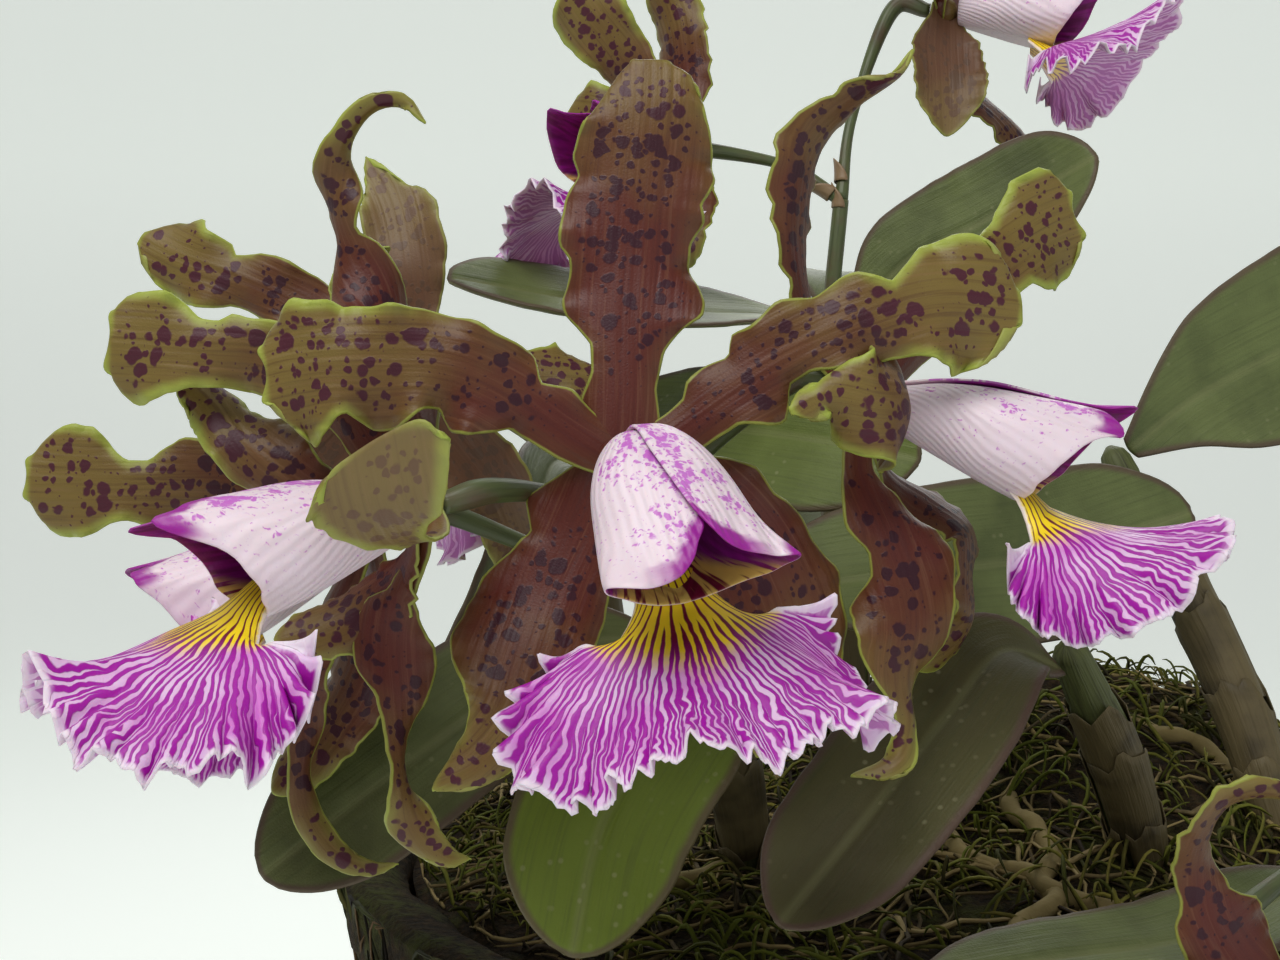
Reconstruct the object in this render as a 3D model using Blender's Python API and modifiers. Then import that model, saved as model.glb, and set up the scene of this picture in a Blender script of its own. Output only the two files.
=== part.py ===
"""A flowering cattleya orchid rooted in a tree-fern fibre pot, at real size, in metres with +Z up.

The origin is the centre of the pot's underside. +Y runs away from the side that the front blooms face.
Every petal, sepal, lip and leaf is a blade: a grid that is bent along a spine and then thickened.
"""

import math
from dataclasses import dataclass

import bmesh
import bpy
import numpy as np
from mathutils import Vector

MM = 0.001

# Pot and planting medium
POT_BASE_RADIUS = 104 * MM
POT_RIM_RADIUS = 125 * MM
POT_HEIGHT = 120 * MM
POT_WALL = 13 * MM
POT_FLOOR = 14 * MM
RIM_ROUND = 3 * MM
POT_SIDES = 24
FIT_GAP = 0.3 * MM
MOUND_EDGE = 5 * MM
MOUND_RISE = 32 * MM
MOUND_TOP = (45 * MM, 15 * MM)
MOUND_SPREAD = 62 * MM
MOUND_RINGS = 5
HOLE_CLEARANCE = 0.45

# Where the plant's own coordinates, in mm, stand in the pot's frame
PLANTED = np.array((-18.0, -15.0, 0.0))

# Thicknesses, all over the 0.6 mm that a blade needs
TEPAL_THICK = 0.8 * MM
LIP_THICK = 0.75 * MM
LEAF_THICK = 1.6 * MM

# Bloom sizes
SEAT_GAP = 0.3
HUB_RADIUS = 3.0 * MM
NECK_FAR = 12.0
NECK_NEAR = HUB_RADIUS / MM + SEAT_GAP
NECK_SHARE = 0.18
NECK_WIDTH = 4.2
LOBE_SPREAD = math.radians(112)
COLUMN_START = HUB_RADIUS / MM + SEAT_GAP
COLUMN_LENGTH = 21.0

# Colours, as linear RGB
TEPAL_BROWN = (0.13, 0.065, 0.032)
LIP_MAGENTA = (0.50, 0.10, 0.42)
COLUMN_WHITE = (0.62, 0.42, 0.58)
STALK_GREEN = (0.10, 0.13, 0.055)
CANE_GREEN = (0.12, 0.13, 0.06)
LEAF_GREEN = (0.065, 0.085, 0.035)
FIBRE_BROWN = (0.055, 0.038, 0.018)
MOSS_GREEN = (0.085, 0.095, 0.025)

# Outlines: the half-width, as a share of the widest, at even steps from the base to the tip
SEPAL = (0.42, 0.50, 0.72, 0.92, 1.0, 0.98, 0.88, 0.72, 0.52)
PETAL = (0.34, 0.42, 0.62, 0.74, 0.72, 0.80, 0.95, 1.0, 0.80)
LEAF = (0.12, 0.44, 0.80, 0.95, 1.0, 0.98, 0.90, 0.74, 0.50)
LOBE = (1.0, 1.0, 1.04, 1.08, 1.07, 1.0, 0.82, 0.60)

# Half of the lip's tube as rows of (forward, up, right) in mm, from its floor round to the seam on top
TUBE_NET = (
    ((3.7, -3.1, 0), (3.7, -2.7, 1.9), (3.7, -0.9, 3.2), (3.7, 1.5, 3.0), (3.7, 3.0, 1.6), (3.7, 3.3, -0.5)),
    ((11, -5.0, 0), (11, -4.5, 3.6), (11, -1.4, 6.4), (10.6, 2.6, 6.0), (10.2, 5.0, 3.0), (10, 5.4, -0.6)),
    ((19, -7.0, 0), (19, -6.5, 4.6), (19, -3.2, 8.6), (19, 2.4, 8.6), (18, 6.0, 4.4), (17, 6.8, -0.6)),
    ((25, -8.4, 0), (25.4, -8.6, 4.6), (26.5, -7.2, 9.4), (31, -1.0, 11.4), (35.5, 6.5, 8.5), (26, 6.6, 0.5)),
)
SEAM_LAP = 0.65


def unit(vectors):
    """Each row of an array at length 1."""
    return vectors / np.linalg.norm(vectors, axis=-1, keepdims=True)


def smooth(stations, share):
    """Values on a smooth curve through evenly spaced stations, at shares from 0 to 1 along it."""
    p = np.asarray(stations, float)
    p = p.reshape(len(p), -1)
    spans = len(p) - 1
    p = np.vstack([2 * p[0] - p[1], p, 2 * p[-1] - p[-2]])
    place = np.clip(share, 0, 1) * spans
    i = np.minimum(place.astype(int), spans - 1)
    f = (place - i)[:, None]
    a, b, c, d = p[i], p[i + 1], p[i + 2], p[i + 3]
    return 0.5 * (2 * b + (c - a) * f + (2 * a - 5 * b + 4 * c - d) * f**2 + (3 * b - 3 * c + d - a) * f**3)


@dataclass
class Blade:
    """One petal, sepal or leaf.

    The spine is in mm from what it grows on, and faces say where its upper side looks.
    """

    spine: tuple
    faces: tuple
    width: float
    outline: tuple = SEPAL
    left: tuple = ()
    right: tuple = ()
    cup: tuple = (0.5, 0.4)
    waves: float = 3.0
    wave_height: float = 1.4
    phase: float = 0.0
    tip: float = 0.16
    blunt: float = 0.26

    def points(self, along, across):
        """Places in mm for shares along (0 to 1) and across (-1 to 1) the blade."""
        fine = np.linspace(0, 1, 240)
        curve = smooth(self.spine, fine)
        steps = np.linalg.norm(np.diff(curve, axis=0), axis=1)
        length = np.concatenate([[0], np.cumsum(steps)]) / steps.sum()
        own = np.interp(along, length, fine)
        middle = smooth(self.spine, own)
        slope = np.gradient(curve, axis=0)
        heading = unit(np.stack([np.interp(own, fine, slope[:, k]) for k in range(3)], axis=1))
        face = smooth(self.faces, along)
        normal = unit(face - heading * np.sum(face * heading, axis=1, keepdims=True))
        side = np.cross(heading, normal)
        half = self.half_width(along, across)
        curl = smooth(self.cup, along)[:, 0] + 1e-4
        reach = np.abs(across)
        out = half * np.sin(curl * reach) / curl * np.sign(across)
        back = -half * (1 - np.cos(curl * reach)) / curl
        shift = self.phase + np.where(across < 0, 1.9, 0.0)
        swell = np.clip(along / 0.3, 0, 1) * reach**2 * np.clip(2.2 * half / self.width, 0, 1)
        back = back + self.wave_height * swell * np.sin(2 * math.pi * self.waves * along + shift)
        return middle + side * out[:, None] + normal * back[:, None]

    def half_width(self, along, across):
        """The half-width in mm on the side that across names, rounded off at the tip."""
        shape = smooth(self.outline, along)[:, 0] * self.width / 2
        if self.left:
            left, right = smooth(self.left, along)[:, 0], smooth(self.right, along)[:, 0]
            shape = np.where(across < 0, left, right)
        past = np.clip((along - 1 + self.tip) / self.tip, 0, 1)
        return shape * np.maximum(np.sqrt(1 - past**2), self.blunt)


def new_object(name, mesh, material, group):
    """A named object in the plant's collection, smooth where it is round."""
    made = bpy.data.objects.new(name, mesh)
    group.objects.link(made)
    if material:
        mesh.materials.clear()
        mesh.materials.append(material)
    return made


def material(name, colour, roughness):
    """A Principled material of one colour."""
    made = bpy.data.materials.new(name)
    made.use_nodes = True
    shader = made.node_tree.nodes["Principled BSDF"]
    shader.inputs["Base Color"].default_value = (*colour, 1)
    shader.inputs["Roughness"].default_value = roughness
    return made


def sheet(place, rows, columns, thickness, group):
    """A grid moved to place(along, across), in mm, split into triangles and thickened."""
    bm = bmesh.new()
    bmesh.ops.create_grid(bm, x_segments=columns, y_segments=rows, size=1)
    flat = np.array([v.co for v in bm.verts])
    share = (flat[:, 1] + 1) / 2
    along = share + 0.10 * np.sin(math.pi * share) * share
    for vertex, spot in zip(bm.verts, place(np.clip(along, 0, 1), flat[:, 0]) * MM):
        vertex.co = spot
    bmesh.ops.triangulate(bm, faces=bm.faces)
    mesh = bpy.data.meshes.new("sheet")
    bm.to_mesh(mesh)
    bm.free()
    made = new_object("sheet", mesh, None, group)
    solid = made.modifiers.new("thickness", "SOLIDIFY")
    solid.thickness = thickness
    solid.offset = 0
    return made


def applied(obj):
    """The object's mesh with its modifiers applied, its place in its vertices and its caps welded."""
    graph = bpy.context.evaluated_depsgraph_get()
    mesh = bpy.data.meshes.new_from_object(obj.evaluated_get(graph))
    mesh.transform(obj.matrix_world)
    bm = bmesh.new()
    bm.from_mesh(mesh)
    bmesh.ops.remove_doubles(bm, verts=bm.verts, dist=1e-6)
    bm.to_mesh(mesh)
    bm.free()
    return mesh


def stem(points, radii, sides, group, steps=6):
    """A round stem through points in mm, with radii in mm spread along it, as a mesh with closed ends."""
    curve = bpy.data.curves.new("stem", "CURVE")
    curve.dimensions = "3D"
    curve.bevel_depth = MM
    curve.bevel_resolution = (sides - 4) // 2
    curve.use_fill_caps = True
    line = curve.splines.new("POLY")
    share = np.linspace(0, 1, steps + 1)
    route = smooth(points, share) * MM
    line.points.add(len(route) - 1)
    for knot, spot, radius in zip(line.points, route, smooth(radii, share)[:, 0]):
        knot.co = (*spot, 1)
        knot.radius = radius
    guide = bpy.data.objects.new("guide", curve)
    group.objects.link(guide)
    bpy.context.view_layer.update()
    mesh = applied(guide)
    bpy.data.objects.remove(guide)
    return new_object("stem", mesh, None, group)


def fuse(name, pieces, finish, group, solver="EXACT"):
    """One object made of all the pieces by one Boolean union. The pieces are then removed."""
    bpy.context.view_layer.update()
    meshes = [applied(piece) for piece in pieces]
    for piece in pieces:
        bpy.data.objects.remove(piece)
    made = new_object(name, meshes[0], None, group)
    if len(meshes) > 1:
        rest = bpy.data.collections.new("to join")
        bpy.context.scene.collection.children.link(rest)
        for mesh in meshes[1:]:
            new_object("joined", mesh, None, rest)
        union = made.modifiers.new("union", "BOOLEAN")
        union.operation = "UNION"
        union.operand_type = "COLLECTION"
        union.collection = rest
        union.solver = solver
        union.use_self = True
        bpy.context.view_layer.update()
        mesh = applied(made)
        made.modifiers.clear()
        made.data = mesh
        for joined in list(rest.objects):
            bpy.data.objects.remove(joined)
        bpy.data.collections.remove(rest)
    made.name = name
    made.data.name = name
    made.data.materials.clear()
    made.data.materials.append(finish)
    return made


def lip_frame(axis, roll):
    """The lip's forward, up and right directions. The roll turns it about its own axis, in degrees."""
    forward = Vector(axis).normalized()
    up = (Vector((0, 0, 1)) - forward * forward.z).normalized()
    right = up.cross(forward)
    turn = math.radians(roll)
    up, right = up * math.cos(turn) + right * math.sin(turn), right * math.cos(turn) - up * math.sin(turn)
    return np.array([forward, up, right])


def tube_points(along, across, horn):
    """The lip's side lobes, wrapped over the column: (forward, up, right) in mm from the bloom's centre."""
    net = np.array(TUBE_NET, float)
    net[3, 4] = horn
    net[3, 3] = 0.5 * (net[3, 2] + net[3, 4]) + (0, -0.6, 1.6)
    rows = [smooth(row, np.abs(across)) for row in net]
    spots = np.empty((len(along), 3))
    for i, share in enumerate(along):
        spots[i] = smooth([row[i] for row in rows], np.array([share]))[0]
    lap = np.clip((np.abs(across) - 0.7) / 0.3, 0, 1)
    spots[:, 1] += SEAM_LAP * lap * np.sign(across)
    spots[:, 2] *= np.where(across < 0, -1, 1)
    return spots


def lobe_points(along, across, pitch, seed, size, curl):
    """The lip's broad front lobe, with a narrow neck: (forward, up, right) in mm from the bloom's centre."""
    neck = np.clip(along / NECK_SHARE, 0, 1)
    fan = np.clip((along - NECK_SHARE) / (1 - NECK_SHARE), 0, 1)
    angle = LOBE_SPREAD * across
    reach = size * fan * smooth(LOBE, np.abs(across))[:, 0] * (1 + 0.04 * fan * np.cos(5 * angle + seed))
    out = reach * np.sin(angle) + NECK_WIDTH * across * (1 - 0.7 * fan)
    ahead = reach * np.cos(angle)
    bend = out / curl
    ruffle = 2.2 * fan**2.5 * np.sin(6.3 * angle + seed) + 0.8 * fan**4 * np.sin(13.7 * angle + 2 * seed)
    right = (curl - ruffle) * np.sin(bend)
    drop = curl - (curl - ruffle) * np.cos(bend)
    tilt = math.radians(pitch)
    rise = ahead * math.sin(tilt) + 0.011 * np.maximum(ahead, 0) ** 2
    forward = 20.5 + 6.5 * neck + ahead * math.cos(tilt) - 0.3 * drop * math.sin(tilt)
    return np.stack([forward, -6.2 - 2.9 * neck + rise - drop, right], axis=1)


@dataclass
class Bloom:
    """One flower: where its parts meet, in mm, where its lip points, and its five brown blades."""

    name: str
    centre: tuple
    axis: tuple
    blades: tuple
    roll: float = 0.0
    horn: tuple = (35.5, 6.5, 8.5)
    pitch: float = -6.0
    seed: float = 0.0
    lobe_size: float = 26.0
    lobe_curl: float = 17.0
    rows: int = 8
    columns: int = 4
    tube_grid: tuple = (4, 10)
    lobe_grid: tuple = (5, 12)

    def place(self, local):
        """World places in mm for (forward, up, right) rows."""
        return self.heart() + local @ lip_frame(self.axis, self.roll)

    def heart(self):
        """The bloom's centre in mm in the pot's frame."""
        return np.asarray(self.centre) + PLANTED

    def lobe(self, along, across):
        """The front lobe's points in the lip's own directions."""
        return lobe_points(along, across, self.pitch, self.seed, self.lobe_size, self.lobe_curl)

    def neck(self):
        """Two points in mm behind the bloom, where its stalk arrives."""
        forward = lip_frame(self.axis, self.roll)[0]
        return self.heart() - forward * NECK_FAR, self.heart() - forward * NECK_NEAR

    def build(self, finishes, group):
        """The brown blades, the lip and the column, each one object."""
        forward = lip_frame(self.axis, self.roll)[0]
        heart = bmesh.new()
        bmesh.ops.create_uvsphere(heart, u_segments=7, v_segments=4, radius=HUB_RADIUS)
        mesh = bpy.data.meshes.new("hub")
        heart.to_mesh(mesh)
        heart.free()
        hub = new_object("hub", mesh, None, group)
        hub.location = Vector(self.heart()) * MM
        hub.rotation_mode = "QUATERNION"
        hub.rotation_quaternion = Vector(forward).to_track_quat("Z", "Y")
        pieces = [hub]
        for blade in self.blades:

            def spot(along, across, blade=blade):
                return self.heart() + blade.points(along, across)

            pieces.append(sheet(spot, self.rows, self.columns, TEPAL_THICK, group))
        fuse(f"{self.name}_sepals_petals", pieces, finishes["tepal"], group)

        def wrapped(along, across):
            return self.place(tube_points(along, across, self.horn))

        def fanned(along, across):
            return self.place(self.lobe(along, across))

        tube = sheet(wrapped, *self.tube_grid, LIP_THICK, group)
        lobe = sheet(fanned, *self.lobe_grid, LIP_THICK, group)
        fuse(f"{self.name}_lip", [tube, lobe], finishes["lip"], group)
        start, end = COLUMN_START, COLUMN_START + COLUMN_LENGTH
        route = [(start, 0, 0), (start + 7, 0.5, 0), (start + 14, 1.4, 0), (end, 2.0, 0)]
        column = stem(self.place(np.array(route, float)), (1.7, 2.0, 2.6, 2.2), 6, group, steps=4)
        fuse(f"{self.name}_column", [column], finishes["column"], group)


def bloom_list():
    """Every bloom of the plant, from the front centre round to the ones at the back."""
    return [
        Bloom(
            "bloom_centre", (-47, -100, 201), (0.34, -0.82, -0.46), roll=-11, horn=(36, 3.5, 10.0),
            seed=0.6,
            pitch=-17.0,
            lobe_curl=32.0, rows=10, tube_grid=(5, 10), lobe_grid=(5, 14),
            blades=(
                Blade(
                    spine=((0, 0.2, 0), (0.5, 1, 9), (0.5, 2.4, 19), (1.2, 4, 30), (2.2, 4.5, 41),
                        (3.2, 5, 50.5), (3.4, 7, 58.6)),
                    faces=((0, -1, 0.1), (0, -1, 0.05), (0.05, -1, 0.1), (0, -1, 0.5)),
                    width=20, left=(5.0, 4.9, 4.6, 7.6, 8.8, 8.4, 9.2, 9.8, 10.6, 9.4, 7.4, 5.8),
                    right=(5.0, 4.6, 4.6, 7.6, 10.4, 9.2, 9.0, 10.8, 11.0, 9.0, 8.0, 6.2),
                    cup=(0.3, 0.25, 0.4), waves=3.4, wave_height=1.3, phase=0.6, tip=0.08, blunt=0.72,
                ),
                Blade(
                    spine=((0, 0, 0), (-6, -0.5, 3.5), (-14, -2, 9), (-23, -4, 13),
                        (-34, -4.5, 13.5), (-44, -4, 13), (-51, -2, 11.5)),
                    faces=((0, -1, 0.2), (0, -1, 0.15), (0, -1, 0.0), (-0.2, -1, 0.1)),
                    width=19, left=(2.8, 4.0, 5.0, 9.4, 7.6, 6.2, 9.8, 8.2, 6.6, 9.6, 9.8, 7.4),
                    right=(3.4, 4.6, 5.2, 8.6, 9.0, 7.8, 7.6, 7.2, 7.6, 8.8, 8.4, 6.4),
                    cup=(0.3, 0.2, 0.4), waves=4.0, wave_height=1.7, phase=2.0,
                ),
                Blade(
                    spine=((0, 0, 0), (7, 0, 3.5), (15, -0.5, 9), (24, -1.5, 14.5), (34, -2, 19),
                        (45, -1, 22), (55, 2, 21.5)),
                    faces=((0, -1, 0.3), (0, -1, 0.2), (0, -1, 0.1), (0.2, -1, 0.15)),
                    width=19, left=(2.6, 3.8, 4.4, 7.8, 7.2, 7.6, 7.8, 8.2, 10.4, 10.8, 10.0, 7.6),
                    right=(2.8, 3.8, 5.4, 7.8, 6.8, 7.0, 7.2, 7.6, 8.4, 9.6, 9.0, 7.0),
                    cup=(0.3, 0.2, 0.4), waves=3.6, wave_height=1.6, phase=0.4,
                ),
                Blade(
                    spine=((0, 0, 0), (-4, 2, -9), (-8, 1, -18), (-11, -2, -27), (-14, -5, -36),
                        (-19, -7, -42), (-25, -7, -45)),
                    faces=((0, -1, -0.1), (-0.2, -1, 0.1), (0.1, -1, 0.1), (0, -1, 0.2)),
                    width=20, left=(3.0, 5.0, 8.0, 10.2, 10.4, 10.2, 9.4, 8.4, 7.4, 6.6, 5.4),
                    right=(3.0, 5.6, 6.6, 10.6, 11.0, 9.8, 7.6, 6.2, 6.4, 5.6, 4.6),
                    cup=(0.5, 0.4, 0.7), waves=2.4, wave_height=1.5, phase=3.0,
                ),
                Blade(
                    spine=((0, 0, 0), (9, 3.5, -6), (17, 5, -14), (21.5, 5, -24), (22, 5, -34),
                        (20, 6, -43)),
                    faces=((0, -1, 0.1), (0.1, -1, 0.1), (0, -1, 0.1)),
                    width=19, cup=(0.4, 0.3, 0.5), waves=2.6, wave_height=1.4, phase=1.0,
                ),
            ),
        ),
        Bloom(
            "bloom_right", (-9, -85, 210), (0.91, -0.30, -0.287), horn=(35.5, 8.5, 5.5), pitch=0,
            seed=2.4,
            blades=(
                Blade(
                    spine=((0, 0, 0), (-8, 1, 12), (-11, 1, 23), (-9, 0, 33), (-4, -2, 41),
                        (2, -3, 46), (9, -3, 51)),
                    faces=((0.9, -0.5, 0.2), (0.9, -0.5, 0.1), (0.85, -0.6, -0.1),
                        (0.5, -0.6, -0.6), (0.2, 0.4, -0.9)),
                    width=13, cup=(0.6, 0.7, 0.8), waves=2.2, wave_height=1.0, phase=0.5, tip=0.25,
                ),
                Blade(
                    spine=((0, 0, 0), (0, -8, -6), (-2, -16, -9), (-6, -24, -9), (-9, -30, -4),
                        (-8, -33, 3), (-4, -34, 8)),
                    faces=((0.9, -0.1, 0.4), (0.4, 0.0, 0.9), (0.3, -0.5, 0.8), (0.4, -0.9, 0.5),
                        (0.5, -0.9, 0.2)),
                    width=17, outline=PETAL, cup=(0.5, 0.5, 0.7), waves=2.6, wave_height=1.2, phase=2.6,
                ),
                Blade(
                    spine=((0, 0, 0), (7, 6, 8), (15, 13, 16), (23, 20, 24), (33, 25, 31),
                        (43, 28, 36)),
                    faces=((0.8, -0.5, 0.2), (0.6, -0.8, 0.1), (0.3, -1, 0.1), (0.2, -1, 0)),
                    width=18, outline=PETAL, cup=(0.4, 0.3, 0.4), waves=3.0, wave_height=1.6, phase=1.0,
                ),
                Blade(
                    spine=((0, 0, 0), (-3, -5, -10), (0, -10, -20), (3, -12, -31), (2, -12, -40),
                        (3, -12, -47), (1, -13, -52), (-5, -13, -54)),
                    faces=((0.4, -0.9, 0.2), (0.3, -1, 0.1), (0.1, -1, 0), (0.3, -0.8, 0.3),
                        (-0.3, -0.6, 0.9)),
                    width=14, cup=(0.6, 0.4, 0.5, 0.9), waves=2.4, wave_height=1.4, phase=3.6,
                ),
                Blade(
                    spine=((0, 0, 0), (3, 6, -10), (10, 8, -15), (16, 7, -20), (16, 6, -27),
                        (16, 6, -34), (11, 6, -39), (6, 7, -40)),
                    faces=((0.3, -0.8, 0.5), (0.1, -0.5, 0.9), (0.8, -0.5, 0.5),
                        (0.9, -0.5, -0.1), (0.5, -0.9, 0.2)),
                    width=11, cup=(0.5, 0.6, 0.9), waves=2.0, wave_height=1.0, phase=0.0,
                ),
            ),
        ),
        Bloom(
            "bloom_left", (-74, -105, 194), (-0.81, -0.54, -0.21), roll=2, horn=(35, 6.5, 6.5),
            pitch=3, seed=4.0,
            blades=(
                Blade(
                    spine=((0, 0, 0), (-3, 8, 13), (-6, 14, 28), (-11, 16, 38.5), (-12, 15, 45.5),
                        (-9, 12, 52), (-4, 11, 55), (2, 10, 54)),
                    faces=((-0.7, -0.7, 0.2), (-0.6, -0.8, 0.2), (0.3, -0.9, 0.1),
                        (0.95, -0.3, 0.1), (0.5, -0.3, -0.9), (-0.2, -0.3, -1)),
                    width=13, cup=(0.5, 0.5, 0.8, 0.9), waves=1.6, wave_height=0.9, phase=1.2, tip=0.3,
                ),
                Blade(
                    spine=((0, 0, 0), (3, -8, -2), (4, -16, -3), (2, -24, -1), (-1, -31, 4),
                        (-5, -36, 10)),
                    faces=((-0.7, -0.5, 0.4), (-0.4, -0.1, 0.9), (-0.4, 0.1, 0.9),
                        (-0.4, 0.4, 0.8), (-0.3, 0.8, 0.6)),
                    width=17, outline=PETAL, cup=(0.4, 0.3, 0.3), waves=2.2, wave_height=0.8,
                    phase=0.9, tip=0.3,
                ),
                Blade(
                    spine=((0, 0, 0), (-7, 8, 8), (-15, 12, 18), (-24, 13, 23), (-35, 13, 24),
                        (-48, 13, 25)),
                    faces=((-0.5, -0.8, 0.3), (-0.3, -1, 0.1), (0, -1, 0), (-0.1, -1, 0.1)),
                    width=17, outline=PETAL, cup=(0.4, 0.3, 0.3), waves=3.2, wave_height=1.5, phase=2.2,
                ),
                Blade(
                    spine=((0, 0, 0), (-4, 6, -9), (-10, 8, -14), (-16, 8, -17), (-22, 8, -19)),
                    faces=((-0.4, -0.4, 0.8), (-0.2, -0.7, 0.8), (-0.1, -0.9, 0.6), (-0.1, -1, 0.4)),
                    width=13, cup=(0.6, 0.9, 1.0), waves=2.0, wave_height=1.0, phase=2.0,
                ),
                Blade(
                    spine=((0, 0, 0), (1, 4, -11), (0, 5, -17), (-3, 4, -24), (-2.5, 4, -31),
                        (-1, 4, -38), (2, 4, -45), (6.5, 5, -49)),
                    faces=((0.1, -0.9, 0.4), (-0.8, -0.5, 0.3), (0.0, -1, 0.1), (0.8, -0.5, 0.1),
                        (0.0, -1, 0.2), (-0.3, -0.8, 0.5)),
                    width=12, cup=(0.5, 0.6, 0.8), waves=2.0, wave_height=0.9, phase=0.3,
                ),
            ),
        ),
        Bloom(
            "bloom_left_low", (-86, -81, 189), (-0.86, -0.38, -0.33), roll=4, horn=(34, 7.0, 5.0),
            pitch=8, seed=1.3,
            lobe_size=20.0, lobe_curl=15.0, columns=2,
            blades=(
                Blade(
                    spine=((0, 0, 0), (-2, 6, 13), (-4, 10, 26), (-6, 12, 37), (-5, 13, 44),
                        (1, 14, 47)),
                    faces=((-0.8, -0.4, 0.1), (-0.7, 0.1, 0.1), (-0.8, 0.5, 0), (-0.5, 0.4, 0.8)),
                    width=11, cup=(0.5, 0.6, 0.8), waves=1.8, wave_height=0.8, phase=0.2,
                ),
                Blade(
                    spine=((0, 0, 0), (-2, -6, 7), (-6, -8, 14), (-12, -7, 19), (-18, -5, 25),
                        (-24, -4, 30)),
                    faces=((-0.6, -0.7, 0.4), (-0.3, -1, 0.2), (0, -1, 0), (0.4, -1, 0.1),
                        (0.9, -0.6, 0.0)),
                    width=13, outline=PETAL, cup=(0.4, 0.5, 0.9), waves=2.8, wave_height=1.2, phase=1.2,
                ),
                Blade(
                    spine=((0, 0, 0), (-9, 6, 6), (-20, 9, 8.5), (-33, 10, 9), (-45, 9, 9),
                        (-57, 8, 9.5)),
                    faces=((-0.6, -0.8, 0.2), (-0.3, -1, 0.1), (0, -1, 0), (0, -1, 0.1)),
                    width=17, outline=PETAL, cup=(0.4, 0.3, 0.3), waves=2.6, wave_height=1.4, phase=0.0,
                ),
                Blade(
                    spine=((0, 0, 0), (-6, 2, -12), (-11, 3, -22), (-12, 3, -31), (-9, 2, -39),
                        (-3, 1, -45), (3, 1, -47.5)),
                    faces=((-0.5, -0.7, 0.5), (-0.6, -0.8, 0.1), (-0.3, -1, 0.1), (0.2, -1, 0.3)),
                    width=12, cup=(0.6, 0.5, 0.8), waves=2.0, wave_height=1.0, phase=1.0,
                ),
                Blade(
                    spine=((0, 0, 0), (0, 7, -11), (-3, 10, -21), (-8, 12, -30), (-14, 12, -37)),
                    faces=((-0.4, -0.8, 0.4), (-0.5, -0.8, 0.1), (-0.4, -0.9, 0.1), (-0.2, -0.9, 0.5)),
                    width=14, cup=(0.5, 0.5, 0.8), waves=2.0, wave_height=1.2, phase=3.0,
                ),
            ),
        ),
        Bloom(
            "bloom_left_far", (-84, -46, 216), (-0.42, 0.87, -0.26), seed=3.1, rows=6, columns=2,
            lobe_grid=(5, 8),
            blades=(
                Blade(
                    spine=((0, 0, 0), (-1, -2, 10), (-1, -3, 20), (-2, -1, 29), (-5, 2, 37)),
                    faces=((0.1, 1, 0.2), (0, 1, 0.1), (0, 1, -0.1), (0.1, 1, -0.2)),
                    width=17, cup=(0.5, 0.4, 0.7), waves=2.2, wave_height=1.3, phase=1.2,
                ),
                Blade(
                    spine=((0, 0, 0), (-9, -3, 6), (-19, -5, 12), (-30, -4, 17), (-41, -2, 21),
                        (-49, 0, 25)),
                    faces=((-0.2, -1, 0.3), (0, -1, 0.1), (0, -1, 0), (-0.2, -1, 0.2)),
                    width=16, outline=PETAL, cup=(0.4, 0.2, 0.5), waves=3.0, wave_height=1.7, phase=2.4,
                ),
                Blade(
                    spine=((0, 0, 0), (8, 1, 1), (16, 2, 2), (25, 4, 2), (34, 7, 1)),
                    faces=((0.1, -1, 0.3), (0.1, -0.9, 0.5), (0.0, -0.8, 0.7)),
                    width=15, outline=PETAL, cup=(0.4, 0.6, 0.9), waves=2.6, wave_height=1.5, phase=0.7,
                ),
                Blade(
                    spine=((0, 0, 0), (-11, 0, -11), (-19, 1, -20), (-25, 3, -30), (-29, 5, -40)),
                    faces=((-0.3, 1, 0.3), (-0.3, 1, 0.3), (-0.3, 1, 0.1)),
                    width=15, cup=(0.5, 0.5, 0.8), waves=2.2, wave_height=1.3, phase=0.4,
                ),
                Blade(
                    spine=((0, 0, 0), (8, 0, -11), (14, 2, -19), (17, 6, -27), (18, 11, -36)),
                    faces=((0.2, 1, 0.3), (0.1, 1, 0.3), (0, 1, 0.2)),
                    width=15, cup=(0.5, 0.5, 0.8), waves=2.2, wave_height=1.3, phase=2.0,
                ),
            ),
        ),
        Bloom(
            "bloom_back_left", (-37, 14, 271), (-0.56, -0.80, -0.18), horn=(35, 8, 6), pitch=-8,
            seed=5.0, rows=6, columns=2,
            lobe_grid=(5, 8),
            blades=(
                Blade(
                    spine=((0, 0, 0), (2, 2, 11), (2, 4, 22), (0, 5, 32), (-5, 4, 41)),
                    faces=((-0.7, -0.6, 0.3), (-0.6, -0.7, 0.2), (-0.5, -0.8, -0.2)),
                    width=15, cup=(0.5, 0.4, 0.8), waves=2.0, wave_height=1.3, phase=0.9,
                ),
                Blade(
                    spine=((0, 0, 0), (-5, -3, 9), (-11, -7, 18), (-17, -10, 25), (-22, -12, 32)),
                    faces=((-0.6, -0.8, 0), (-0.5, -0.9, 0.1), (-0.3, -0.9, 0.2)),
                    width=17, outline=PETAL, cup=(0.4, 0.3, 0.6), waves=2.6, wave_height=1.5, phase=1.9,
                ),
                Blade(
                    spine=((0, 0, 0), (-6, 6, 4), (-12, 11, 8), (-18, 16, 11), (-24, 21, 13)),
                    faces=((-0.6, -0.7, 0.3), (-0.4, -0.9, 0.1), (-0.2, -1, -0.1)),
                    width=17, outline=PETAL, cup=(0.4, 0.3, 0.6), waves=2.6, wave_height=1.6, phase=0.1,
                ),
                Blade(
                    spine=((0, 0, 0), (2, -6, -9), (2, -10, -16), (1, -13, -23), (0, -15, -29)),
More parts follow.
